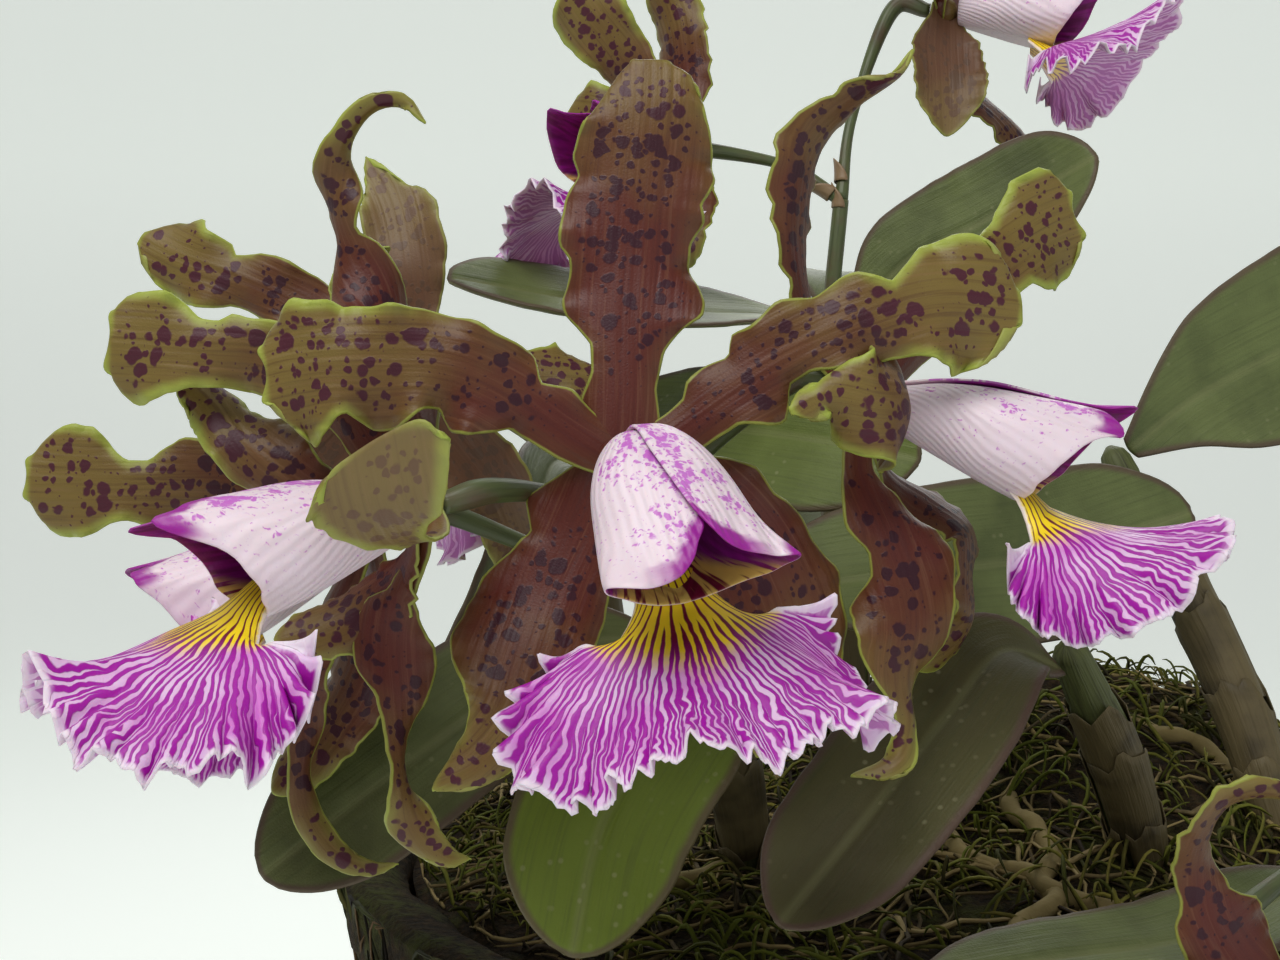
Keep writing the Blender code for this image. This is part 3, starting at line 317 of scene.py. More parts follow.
class Wire:
    """A socket that carries a number through a finish. Arithmetic on it adds Math nodes."""

    def __init__(self, graph: "Graph", socket: bpy.types.NodeSocket) -> None:
        """Wraps a socket of a finish's nodes."""
        self.graph = graph
        self.socket = socket

    def math(self, operation: str, *values: "Wire | float") -> "Wire":
        """A Math node of self and more values, in order."""
        return self.graph.node("ShaderNodeMath", {"operation": operation}, dict(enumerate((self, *values))))

    def __add__(self, other: "Wire | float") -> "Wire":
        """Self plus other."""
        return self.math("ADD", other)

    def __sub__(self, other: "Wire | float") -> "Wire":
        """Self minus other."""
        return self.math("SUBTRACT", other)

    def __rsub__(self, other: float) -> "Wire":
        """Other minus self."""
        return self.graph.node("ShaderNodeMath", {"operation": "SUBTRACT"}, {0: other, 1: self})

    def __mul__(self, other: "Wire | float") -> "Wire":
        """Self times other."""
        return self.math("MULTIPLY", other)

    def __abs__(self) -> "Wire":
        """The size of self."""
        return self.math("ABSOLUTE")

    __radd__ = __add__
    __rmul__ = __mul__

    def most(self, other: "Wire | float") -> "Wire":
        """The larger of self and other."""
        return self.math("MAXIMUM", other)

    def step(self, low: "Wire | float", high: "Wire | float") -> "Wire":
        """A smooth step of self from 0 at low to 1 at high, which may be the smaller."""
        sockets = {"Value": self, "From Min": low, "From Max": high}
        return self.graph.node("ShaderNodeMapRange", {"interpolation_type": "SMOOTHSTEP"}, sockets)


Colour = tuple[float, float, float, float]


def tint(red: int, green: int, blue: int) -> Colour:
    """A colour from its display values.

    Args:
        red: From 0 to 255.
        green: From 0 to 255.
        blue: From 0 to 255.

    Returns:
        The linear colour with full alpha.
    """
    shares = (value / 255 for value in (red, green, blue))
    linear = [v / 12.92 if v <= 0.04045 else ((v + 0.055) / 1.055) ** 2.4 for v in shares]
    return (*linear, 1.0)


class Graph:
    """The nodes of one finish, which end in a Principled shader."""

    def __init__(self, name: str, **constants: float | Colour) -> None:
        """Starts a material.

        Args:
            name: The material's name.
            constants: Values for the shader's own sockets, by their names.
        """
        self.material = bpy.data.materials.new(name)
        self.material.use_nodes = True
        self.tree = self.material.node_tree
        self.shader = self.tree.nodes["Principled BSDF"]
        for words, value in constants.items():
            self.shader.inputs[words.replace("_", " ").title().replace("Ior", "IOR")].default_value = value

    def node(self, kind: str, settings: dict, sockets: dict | None = None, out: int | str = 0) -> Wire:
        """Adds a node.

        Args:
            kind: The node's type.
            settings: Its own properties.
            sockets: Values or wires by socket name or number.
            out: The output that is wanted.

        Returns:
            That output.
        """
        made = self.tree.nodes.new(kind)
        for name, value in settings.items():
            setattr(made, name, value)
        for name, value in (sockets or {}).items():
            if isinstance(value, Wire):
                self.tree.links.new(value.socket, made.inputs[name])
            else:
                made.inputs[name].default_value = value
        return Wire(self, made.outputs[out])

    def values(self, *names: str) -> list[Wire]:
        """Numbers stored on the piece's points."""
        return [self.node("ShaderNodeAttribute", {"attribute_name": name}, out="Fac") for name in names]

    def value(self, name: str) -> Wire:
        """A number stored on the piece's points."""
        return self.values(name)[0]

    def spots(self) -> Wire:
        """Each point's place on the flattened piece, in mm."""
        return self.node("ShaderNodeAttribute", {"attribute_name": "flat"}, out="Vector")

    def stretch(self, vector: Wire, x: float, y: float, z: float = 1.0) -> Wire:
        """A vector with each part scaled."""
        return self.node("ShaderNodeVectorMath", {"operation": "MULTIPLY"}, {0: vector, 1: (x, y, z)})

    def shift(self, vector: Wire, by: Wire, much: float) -> Wire:
        """A vector moved by a noise colour, up to much each way."""
        centred = self.node("ShaderNodeVectorMath", {"operation": "SUBTRACT"}, {0: by, 1: (0.5, 0.5, 0.5)})
        scaled = self.node("ShaderNodeVectorMath", {"operation": "SCALE"}, {0: centred, "Scale": 2 * much})
        return self.node("ShaderNodeVectorMath", {"operation": "ADD"}, {0: vector, 1: scaled})

    def noise(self, vector: Wire, scale: float, detail: float = 2, rough: float = 0.5, out: int = 0) -> Wire:
        """Noise over a vector, as a number (out 0) or a colour (out 1)."""
        sockets = {"Vector": vector, "Scale": scale, "Detail": detail, "Roughness": rough}
        return self.node("ShaderNodeTexNoise", {}, sockets, out)

    def cells(self, vector: Wire, scale: float, out: str = "Distance", stray: float = 1.0) -> Wire:
        """Voronoi cells over a vector, whose points stray from a grid."""
        sockets = {"Vector": vector, "Scale": scale, "Randomness": stray}
        return self.node("ShaderNodeTexVoronoi", {"voronoi_dimensions": "2D"}, sockets, out)

    def flecks(
        self, vector: Wire, sizes: Stations, reach: Callable[[Wire], Wire], soft: tuple, stray: float = 1.0
    ) -> Wire:
        """Round flecks of several sizes laid over each other.

        Args:
            vector: Where each point lies, in mm.
            sizes: Cell sizes in mm, each with the largest fleck's radius as a share of its cell.
            reach: Gives a fleck's share of that radius from its cell's chance.
            soft: Where a fleck's rim starts and ends.
            stray: How far the cells stray from a grid, from 0 to 1.

        Returns:
            1 on a fleck and 0 between flecks.
        """
        marks: Wire | None = None
        for cell, most in sizes:
            colour = self.cells(vector, 1 / cell, "Color", stray)
            chance = self.node("ShaderNodeSeparateColor", {}, {0: colour})
            mark = (reach(chance) * most - self.cells(vector, 1 / cell, stray=stray)).step(*soft)
            marks = mark if marks is None else marks.most(mark)
        return marks

    def mix(self, first: Wire | Colour, second: Wire | Colour, share: Wire | float) -> Wire:
        """A mix of two colours."""
        settings = {"data_type": "RGBA", "blend_type": "MIX", "clamp_factor": True}
        return self.node("ShaderNodeMix", settings, {0: share, 6: first, 7: second}, 2)

    def bump(self, height: Wire, depth: float, before: Wire | None = None) -> Wire:
        """A normal that shows a height in mm.

        Args:
            height: From 0 to 1.
            depth: What 1 stands for, in mm.
            before: A normal to start from.

        Returns:
            The normal.
        """
        sockets: dict = {"Height": height, "Distance": depth * MM, "Strength": 1.0}
        if before is not None:
            sockets["Normal"] = before
        return self.node("ShaderNodeBump", {}, sockets)

    def dress(self, colour: Wire, roughness: Wire | float, normal: Wire | None = None) -> bpy.types.Material:
        """Joins the results to the shader.

        Args:
            colour: The base colour.
            roughness: A wire or a constant.
            normal: The bumped normal.

        Returns:
            The finished material.
        """
        self.tree.links.new(colour.socket, self.shader.inputs["Base Color"])
        if isinstance(roughness, Wire):
            self.tree.links.new(roughness.socket, self.shader.inputs["Roughness"])
        else:
            self.shader.inputs["Roughness"].default_value = roughness
        if normal is not None:
            self.tree.links.new(normal.socket, self.shader.inputs["Normal"])
        return self.material


class Finish:
    """What a surface is made of."""

    def material(self) -> bpy.types.Material:
        """The finish as a material."""
        raise NotImplementedError


@cache
def worn(finish: Finish) -> bpy.types.Material:
    """The finish's material, made once and shared by the pieces that wear it."""
    return finish.material()


def present(shell: Shell, name: str, finish: Finish, slot: str, *nodes: str) -> bpy.types.Object:
    """Makes a piece, dresses it and puts it in the place of its nodes.

    Args:
        shell: What the piece is made of.
        name: The piece's name.
        finish: What its surface is made of.
        slot: The name of a material slot. It is not used.
        nodes: The nodes that it stands for.

    Returns:
        The piece.
    """
    piece = shell.make(name)
    piece.data.materials.append(worn(finish))
    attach(piece, BODY)
    if nodes:
        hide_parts(*nodes)
    LOG.info("%s: %d faces", name, len(piece.data.polygons))
    return piece


@dataclass(frozen=True)
class TepalFinish(Finish):
    """Spotted olive-brown flesh of sepals and petals."""

    base: Colour = tint(83, 32, 23)
    olive: Colour = tint(115, 98, 46)
    rim: Colour = tint(156, 170, 70)
    spot: Colour = tint(66, 13, 38)
    dark_spot: Colour = tint(46, 7, 25)
    vein: Colour = tint(62, 20, 22)
    pale: Colour = tint(142, 104, 78)
    back: Colour = tint(126, 106, 78)

    def material(self) -> bpy.types.Material:
        """The finish as a material."""
        g = Graph("tepal_flesh", specular_ior_level=0.32)
        flat = g.spots()
        along, edge, width, tone, face = g.values("along", "edge", "width", "tone", "face")
        patch = g.noise(flat, 0.09, 3)
        tip = (along + (patch - 0.5) * 0.6 + tone).step(0.28, 1.0)
        border = edge.step(3.4, 0.4)
        colour = g.mix(self.base, self.olive, tip * 0.9 + border * 0.12)
        lines = g.noise(g.stretch(flat, 1.7, 0.04), 1.0, 2, 0.6)
        colour = g.mix(colour, self.vein, lines.step(0.50, 0.72) * 0.34)
        # Paler streaks along the lines: partly the flesh's own veining, partly painted sheen
        colour = g.mix(colour, self.pale, lines.step(0.46, 0.28) * 0.16)
        warped = g.shift(flat, g.noise(flat, 0.6, 2, out=1), 0.62)
        crowd = (1 - width.step(0.50, 0.95)) * along.step(0.08, 0.38) * (1 - along.step(0.93, 1.0))
        crowd = crowd * g.noise(flat, 0.13, 1).step(0.24, 0.48)
        sizes = ((3.8, 0.36), (2.8, 0.36), (1.8, 0.35))
        marks = g.flecks(warped, sizes, lambda chance: (chance * 1.35 - 0.22) * crowd, (-0.04, 0.05), 0.8)
        front = face.step(-0.2, 0.2)
        green = (tone + 0.2).step(0.0, 0.3) * 0.7 + 0.15
        colour = g.mix(colour, self.rim, edge.step(2.0, 0.2) * tip.step(0.3, 1.0) * green)
        colour = g.mix(colour, self.rim, edge.step(0.38, 0.10) * 0.6)
        spot = g.mix(self.dark_spot, self.spot, tip.step(0.2, 0.9))
        colour = g.mix(colour, spot, marks * 0.94 * front.most(0.75))
        colour = g.mix(g.mix(colour, self.back, 0.35), colour, front)
        ribs = g.noise(g.stretch(flat, 1.0, 0.03), 1.0, 1, 0.4)
        grain = g.noise(flat, 3.2, 2, 0.6)
        normal = g.bump(ribs, 0.24)
        normal = g.bump(grain + marks * 0.5, 0.05, normal)
        return g.dress(colour, 0.36 + grain * 0.16, normal)


@dataclass(frozen=True)
class TubeFinish(Finish):
    """The lip's side lobes: ribbed white flesh, freckled magenta along the seam and solid at the horns."""

    white: Colour = tint(232, 214, 226)
    cream: Colour = tint(220, 200, 204)
    freckle: Colour = tint(184, 60, 190)
    horn: Colour = tint(150, 24, 146)
    throat: Colour = tint(104, 18, 92)
    yellow: Colour = tint(222, 190, 96)
    red: Colour = tint(110, 16, 46)

    def inside(self, g: Graph) -> Wire:
        """The lining's colour: purple above, and yellow lined red by the front lobe.

        Args:
            g: The finish's nodes.

        Returns:
            The colour.
        """
        flat, along, around = g.spots(), g.value("along"), g.value("around")
        streak = g.noise(g.stretch(flat, 1.6, 0.10), 1.0, 2)
        purple = g.mix(self.throat, self.horn, streak.step(0.35, 0.7))
        lined = g.mix(self.yellow, self.red, streak.step(0.50, 0.60))
        low = (around + (1 - along) * 0.4).step(0.40, 0.28)
        return g.mix(g.mix(purple, lined, low), self.cream, along.step(0.45, 0.2) * 0.7)

    def material(self) -> bpy.types.Material:
        """The finish as a material."""
        g = Graph("lip_tube", specular_ior_level=0.45, subsurface_weight=0.10, subsurface_scale=0.002)
        flat = g.spots()
        along, around, edge, face = g.values("along", "around", "edge", "face")
        rib = around * 20 + along * 9 + g.noise(flat, 0.15, 1) * 0.8
        wave = (rib * TURN).math("SINE") * 0.5 + 0.5
        colour = g.mix(self.white, self.cream, wave * 0.14 + g.noise(flat, 0.2, 2) * 0.35)
        long_flat = g.shift(g.stretch(flat, 1.0, 0.6), g.noise(flat, 1.1, 2, out=1), 0.55)
        crowd = g.noise(g.stretch(flat, 0.45, 0.16), 1.0, 2).step(0.44, 0.70)
        crowd = crowd * (around.step(0.40, 0.85) * 0.85 + 0.15)
        crowd = (crowd + around.step(0.62, 1.0) * 0.55) * along.step(0.06, 0.35)
        crowd = crowd * (1 - along.step(0.9, 1.0) * 0.4)
        sizes = ((0.72, 0.44), (0.48, 0.44))
        marks = g.flecks(long_flat, sizes, lambda chance: chance * 1.5 - 1.15 + crowd * 1.35, (-0.10, 0.20))
        colour = g.mix(colour, self.freckle, marks * 0.80)
        colour = g.mix(colour, self.freckle, crowd.step(0.5, 1.3) * 0.30)
        ragged = edge + (g.noise(flat, 0.5, 2) - 0.5) * 1.6
        high = around.step(0.56, 0.74)
        colour = g.mix(colour, self.horn, ragged.step(1.7, 0.7) * along.step(0.72, 0.9) * high)
        colour = g.mix(colour, self.horn, g.value("horn").step(0.55, 0.9))
        colour = g.mix(self.inside(g), colour, face.step(-0.5, 0.1))
        normal = g.bump(wave, 0.08)
        normal = g.bump(g.noise(flat, 2.5, 2), 0.04, normal)
        return g.dress(colour, 0.42, normal)


@dataclass(frozen=True)
class LobeFinish(Finish):
    """The lip's front lobe: white with forking magenta veins, and a yellow throat lined dark red."""

    white: Colour = tint(224, 192, 226)
    vein: Colour = tint(160, 12, 158)
    blush: Colour = tint(200, 96, 196)
    yellow: Colour = tint(248, 216, 34)
    dark: Colour = tint(110, 12, 44)
    fringe: Colour = tint(236, 224, 234)
    primaries: float = 28.0

    def veins(self, g: Graph) -> Wire:
        """The veins, which fork twice on their way to the rim.

        Args:
            g: The finish's nodes.

        Returns:
            1 on a vein and 0 between veins.
        """
        flat, reach = g.spots(), g.value("reach")
        stray = (g.noise(flat, 0.20, 2) - 0.5) * 0.08 + (g.noise(flat, 0.7, 2) - 0.5) * 0.007
        phase = (g.value("across") + stray) * (self.primaries / 2) + 40.5
        cell = phase.math("FLOOR")
        chance = g.node("ShaderNodeTexWhiteNoise", {"noise_dimensions": "1D"}, {"W": cell})
        off = abs(phase - cell - 0.5)
        late = chance * 6 + (g.noise(flat, 0.16, 1) - 0.5) * 3
        first = (reach - late).step(3.5, 13.0) * 0.25
        off = abs(off - first)
        second = (reach - late * 0.8).step(13.0, 23.0) * 0.125
        off = abs(off - second)
        spacing = reach.most(5.0) * (3.9 / self.primaries)
        side = abs(g.value("across")).step(0.5, 1.0)
        thick = 0.24 + (g.noise(flat, 0.30, 2) - 0.5) * 0.12 + reach * 0.0008 + side * 0.02
        thick = thick * (reach.step(3.0, 11.0) * 0.30 + 0.70)
        thick = thick - cell.math("MODULO", 2.0) * reach.step(8.0, 3.0) * 0.4
        return (thick - off * spacing).step(-0.06, 0.06)

    def material(self) -> bpy.types.Material:
        """The finish as a material."""
        g = Graph("lip_lobe", specular_ior_level=0.4, subsurface_weight=0.10, subsurface_scale=0.002)
        flat, across = g.spots(), abs(g.value("across"))
        reach, edge, face = g.values("reach", "edge", "face")
        veins = self.veins(g)
        side = across.step(0.30, 0.95)
        wash = (g.noise(flat, 0.12, 2).step(0.36, 0.66) * 0.6 + side * 0.5) * edge.step(0.6, 3.5)
        ground = g.mix(self.white, self.blush, wash)
        yellow = 1 - (reach * (across * 0.9 + 1) + (g.noise(flat, 0.3, 2) - 0.5) * 5).step(10.5, 17.5)
        ground = g.mix(ground, self.yellow, yellow)
        line = g.mix(self.vein, self.dark, 1 - (reach * (across * 0.8 + 1)).step(8.0, 17.0))
        rim = edge + (g.noise(flat, 0.8, 2) - 0.5) * 1.3
        colour = g.mix(ground, line, veins * rim.step(0.2, 1.3))
        colour = g.mix(colour, self.fringe, rim.step(0.9, 0.2) * 0.8)
        colour = g.mix(g.mix(colour, self.white, 0.30), colour, face.step(-0.4, 0.1))
        normal = g.bump(veins, 0.08)
        normal = g.bump(g.noise(flat, 2.4, 2), 0.06, normal)
        return g.dress(colour, 0.45, normal)


@dataclass(frozen=True)
class ColumnFinish(Finish):
    """Waxy column flesh, purple towards its cap."""

    white: Colour = tint(222, 196, 210)
    purple: Colour = tint(120, 30, 110)

    def material(self) -> bpy.types.Material:
        """The finish as a material."""
        g = Graph("column_flesh", specular_ior_level=0.5)
        flat, along = g.spots(), g.value("along")
        blotch = g.noise(flat, 0.35, 3)
        colour = g.mix(self.white, self.purple, (along + (blotch - 0.5) * 0.7).step(0.35, 0.85))
        return g.dress(colour, 0.35, g.bump(blotch, 0.15))


@dataclass(frozen=True)
class StalkFinish(Finish):
    """Smooth dark green stalk, flushed brown, with pale papery bracts."""

    green: Colour = tint(78, 88, 50)
    flush: Colour = tint(84, 58, 46)
    bract: Colour = tint(140, 112, 84)

    def material(self) -> bpy.types.Material:
        """The finish as a material."""
        g = Graph("stalk_skin", specular_ior_level=0.5)
        flat = g.spots()
        lines = g.noise(g.stretch(flat, 0.9, 0.08, 0.9), 1.0, 3)
        blotch = g.noise(flat, 0.12, 3)
        colour = g.mix(self.green, self.flush, blotch.step(0.45, 0.7) * 0.7)
        colour = g.mix(colour, tint(52, 60, 36), lines.step(0.45, 0.7) * 0.6)
        colour = g.mix(colour, self.bract, g.value("bract") * 0.8)
        return g.dress(colour, 0.38 + lines * 0.15, g.bump(lines, 0.25))


@dataclass(frozen=True)
class CaneFinish(Finish):
    """Ribbed grey-green cane under papery sheaths."""

    green: Colour = tint(88, 94, 52)
    dark: Colour = tint(50, 50, 30)
    paper: Colour = tint(100, 88, 58)
    stain: Colour = tint(52, 44, 27)

    def material(self) -> bpy.types.Material:
        """The finish as a material."""
        g = Graph("cane_skin", specular_ior_level=0.4)
        flat, paper = g.spots(), g.value("paper")
        lines = g.noise(g.stretch(flat, 1.1, 0.05, 1.1), 1.0, 3, 0.6)
        blotch = g.noise(flat, 0.10, 4)
        skin = g.mix(self.green, self.dark, lines.step(0.42, 0.70) * 0.7 + blotch.step(0.5, 0.8) * 0.3)
        husk = g.mix(self.paper, self.stain, blotch.step(0.42, 0.72) * 0.8 + lines.step(0.5, 0.8) * 0.3)
        colour = g.mix(skin, husk, paper.step(0.3, 0.7))
        return g.dress(colour, 0.45 + lines * 0.25, g.bump(lines, 0.45))


@dataclass(frozen=True)
class LeafFinish(Finish):
    """Leathery leaf: grey-green above, paler below, with a purple edge."""

    green: Colour = tint(98, 108, 62)
    deep: Colour = tint(58, 66, 34)
    young: Colour = tint(98, 116, 14)
    aged_and_shade: Colour = tint(66, 54, 24)
    under: Colour = tint(126, 128, 86)
    edge: Colour = tint(84, 62, 56)
    speck: Colour = tint(160, 158, 122)

    def material(self) -> bpy.types.Material:
        """The finish as a material."""
        g = Graph("leaf_skin", specular_ior_level=0.28)
        flat = g.spots()
        edge, face, middle, tone = g.values("edge", "face", "middle", "tone")
        lines = g.noise(g.stretch(flat, 1.3, 0.04), 1.0, 3, 0.6)
        cloud = g.noise(flat, 0.05, 4, 0.6)
        colour = g.mix(self.green, self.deep, cloud.step(0.35, 0.75) * 0.75)
        colour = g.mix(colour, self.young, tone)
        # A negative tone darkens a leaf towards a dull brown: partly its own ageing, partly painted shade on
        # leaves that lie in shade
        colour = g.mix(colour, self.aged_and_shade, (tone * -1).step(0.0, 1.0))
        colour = g.mix(colour, self.deep, lines.step(0.45, 0.8) * 0.35)
        colour = g.mix(colour, self.under, middle.step(1.5, 0.3) * 0.30)
        dust = g.cells(flat, 0.28).step(0.16, 0.05) * g.noise(flat, 0.07, 1).step(0.5, 0.7)
        colour = g.mix(colour, self.speck, dust * 0.3)
        colour = g.mix(colour, self.edge, edge.step(1.6, 0.2) * 0.75)
        colour = g.mix(g.mix(colour, self.under, 0.65), colour, face.step(-0.5, 0.0))
        grain = g.noise(flat, 2.6, 3, 0.6)
        normal = g.bump(lines, 0.22)
        normal = g.bump(grain, 0.10, normal)
        return g.dress(colour, 0.36 + grain * 0.2 + cloud * 0.08, normal)


@dataclass(frozen=True)
class StrandFinish(Finish):
    """Moss or fibre, in a range of tones from strand to strand."""

    name: str
    dark: Colour
    pale: Colour
    green: Colour

    def material(self) -> bpy.types.Material:
        """The finish as a material."""
        g = Graph(self.name, specular_ior_level=0.2)
        tone, flat = g.value("tone"), g.spots()
        mottle = g.noise(flat, 0.4, 3)
        colour = g.mix(self.dark, self.pale, (tone + (mottle - 0.5) * 0.5).step(0.25, 1.0))
        colour = g.mix(colour, self.green, g.value("green"))
        return g.dress(colour, 0.85, g.bump(mottle, 0.3))


@dataclass(frozen=True)
class CrumbFinish(Finish):
    """Matted ground of fibre, bark and moss."""

    name: str
    dark: Colour = tint(30, 24, 16)
    brown: Colour = tint(66, 50, 32)
    moss: Colour = tint(62, 66, 28)

    def material(self) -> bpy.types.Material:
        """The finish as a material."""
        g = Graph(self.name, specular_ior_level=0.15)
        flat = g.spots()
        clump, fine = g.noise(flat, 0.07, 4, 0.6), g.noise(flat, 0.5, 4, 0.7)
        colour = g.mix(self.dark, self.brown, fine.step(0.35, 0.75))
        colour = g.mix(colour, self.moss, clump.step(0.45, 0.65) * fine.step(0.3, 0.6))
        return g.dress(colour, 0.95, g.bump(fine + clump, 1.6))


# How much a blade's rows crowd towards its tip, and a front lobe's towards its rim
TIP_CROWD = 1.12
RIM_CROWD = 1.25
# Steps that a spine's length is measured in
SPINE_STEPS = 400
# How far the corners of a traced blade's tip draw back, and a keel's half-width, in mm
TRACED_CORNER = 2.4
KEEL_WIDTH = 1.3
# How far apart two blades' markings lie on the flattened flesh, in mm
MARK_SHIFT = 37.0


class Grain(Enum):
    """How finely a bloom is made: blade rows and columns, tube rows and columns, lobe rows and columns."""

    NEAR = (80, 38, 44, 110, 44, 270)
    SIDE = (64, 27, 34, 84, 34, 200)
    FAR = (40, 16, 24, 60, 24, 110)


@dataclass
class Blade:
    """One sepal, petal or leaf. Its spine goes on from its root; faces say where its upper side looks."""

    spine: Stations
    faces: Stations
    width: float
    outline: tuple = SEPAL
    left: tuple = ()
    right: tuple = ()
    cup: tuple = (0.5, 0.4)
    waves: float = 3.0
    wave_height: float = 1.4
    phase: float = 0.0
    tip: float = 0.16
    blunt: float = 0.10
    crimp: float = 0.7
    scallop: float = 0.03
    notch: float = 0.0
    skew: float = 0.0
    thickness: float = 0.8
    keel: float = 0.0
    tone: float = 0.0
    root: tuple = (0, 0, 0)

    def half_width(self, along: Array, across: Array) -> Array:
        """The half-width in mm on the side that across names.

        Args:
            along: Shares from the base to the tip.
            across: Shares from -1 to 1.

        Returns:
            The half-widths.
        """
        shape = smooth(self.outline, along) * self.width / 2
        if self.left:
            shape = np.where(across < 0, traced(self.left, along), traced(self.right, along))
        bite = wobble(along + (across < 0) * 3.3, self.phase + self.width, 7.0)
        shape = shape * (1 + self.scallop * bite * rise(along, 0.12, 0.4))
        past = np.clip((along - 1 + self.tip) / self.tip, 0, 1)
        return shape * np.maximum(np.sqrt(1 - past**2), self.blunt)

    def grow(self, hub: Array, rows: int, columns: int, number: int, shell: Shell) -> Shell:
        """Adds the blade to a piece.

        Args:
            hub: Where the root and the spine are counted from, in mm.
            rows: Rows of points along it.
            columns: Points across it.
            number: Its place in the bloom, which shifts its markings.
            shell: The piece.

        Returns:
            The piece.
        """
        share = np.linspace(0, 1, rows)
        along, across = (part.ravel() for part in net(1 - (1 - share) ** TIP_CROWD, columns, 1, -1))
        fine = np.linspace(0, 1, SPINE_STEPS)
        spine = np.array((self.root, *self.spine), float)
        curve = smooth(spine, fine)
        steps = np.linalg.norm(np.diff(curve, axis=0), axis=1)
        length = steps.sum()
        corner = TRACED_CORNER if self.left else 0.0
        pull = self.notch * (1 - across**2) + corner * across**8 - self.skew * across
        place = along - pull * rise(along, 0.72, 1.0) / length
        own = np.interp(np.clip(place, 0, 1), np.concatenate([[0], np.cumsum(steps)]) / length, fine)
        slope = np.gradient(curve, axis=0)
        heading = unit(np.stack([np.interp(own, fine, slope[:, k]) for k in range(3)], axis=1))
        face = smooth(self.faces, along)
        normal = unit(face - heading * np.sum(face * heading, axis=1, keepdims=True))
        side = np.cross(heading, normal)
        half = self.half_width(along, across)
        curl = smooth(self.cup, along) + 1e-4
        reach = np.abs(across)
        out = half * np.sin(curl * reach) / curl * np.sign(across)
        back = -half * (1 - np.cos(curl * reach)) / curl
        shift = self.phase + np.where(across < 0, 1.9, 0.0)
        swell = np.clip(along / 0.3, 0, 1) * reach**2 * np.clip(2.2 * half / self.width, 0, 1)
        back += self.wave_height * swell * np.sin(TURN * self.waves * along + shift)
        back += self.crimp * swell * reach**2 * wobble(along + (across < 0) * 2.7, self.phase + 0.5, 11.0)
        ridge = self.keel * np.exp(-((out / KEEL_WIDTH) ** 2)) * rise(along, 0.02, 0.2)
        back -= ridge * (1 - 0.5 * rise(along, 0.7, 1.0))
        points = hub + smooth(spine, own) + side * out[:, None] + normal * back[:, None]
        points += heading * (np.maximum(place - 1, 0) * length)[:, None]
        edge = np.minimum(half * (1 - reach), length * (1 - along) + 0.3 * half * (1 - reach))
        apart = MARK_SHIFT * number
        values = {
            "along": along, "edge": edge, "width": reach, "middle": np.abs(out), "tone": self.tone,
            "flat": np.stack([out + apart, along * length, np.full_like(out, apart + self.phase)], axis=1),
        }
        thick = self.thickness * (0.55 + 0.45 * np.clip(edge / 2.0, 0, 1))
        return shell.sheet(points.reshape(rows, columns, 3), thick, values)


@dataclass
class Petal(Blade):
    """A petal, broad towards its end."""

    outline: tuple = PETAL
    cup: tuple = (0.4, 0.3, 0.6)
    waves: float = 2.6
    wave_height: float = 1.5
    tone: float = 0.1


@dataclass
class Lateral(Blade):
    """One of the two lower sepals."""

    cup: tuple = (0.5, 0.5, 0.8)
    waves: float = 2.2
    wave_height: float = 1.2
    tone: float = -0.1


TUBE_ROWS = (
    ((3.7, -3.1, 0), (3.7, -2.7, 1.9), (3.7, -0.9, 3.2), (3.7, 1.5, 3.0), (3.7, 3.0, 1.6), (3.7, 3.3, -0.9)),
    ((11, -5.0, 0), (11, -4.5, 3.6), (11, -1.4, 6.4), (10.6, 2.6, 6.0), (10.2, 5.0, 3.0), (10, 5.4, -1.0)),
    ((19, -7.0, 0), (19, -6.5, 4.6), (19, -3.2, 8.4), (19, 2.4, 8.6), (18, 6.0, 4.4), (17, 6.8, -1.0)),
)
MARGIN_FOOT = ((25.0, -8.2, 0), (25.3, -7.9, 3.2), (26.0, -6.9, 6.2), (27.5, -5.0, 8.4), (30.0, -2.0, 9.4))
MARGIN_TOP = ((33.0, 7.4, 3.0), (29.5, 7.2, 0.9), (26.0, 6.6, -0.9))
TUBE_GIRTH = 42.0
HORN_HALF = 0.09
SEAM_LAP = 0.45
# The front lobe's neck, in mm but for its share of the lobe's rows, and the lobe's usual size
NECK_SHARE = 0.18
NECK_WIDTH = 6.6
NECK_CURL = 7.0
NECK_RUN = 5.4
NECK_DROP = 2.9
NECK_PATTERN = 6.5
LOBE_SIZE = 26.0
# How far apart two lips' markings lie on the flattened flesh for each unit of seed, in mm
SEED_SHIFT = 50.0
HUB_RADIUS = 3.0
HUB_RINGS = 9
# The gap between two organs that are separate nodes
SEAT_GAP = 0.3
COLUMN_LENGTH = 21.0
COLUMN_RINGS = 28
COLUMN_RADII = (1.7, 2.0, 2.6, 2.4)
ROD_SIDES = 16


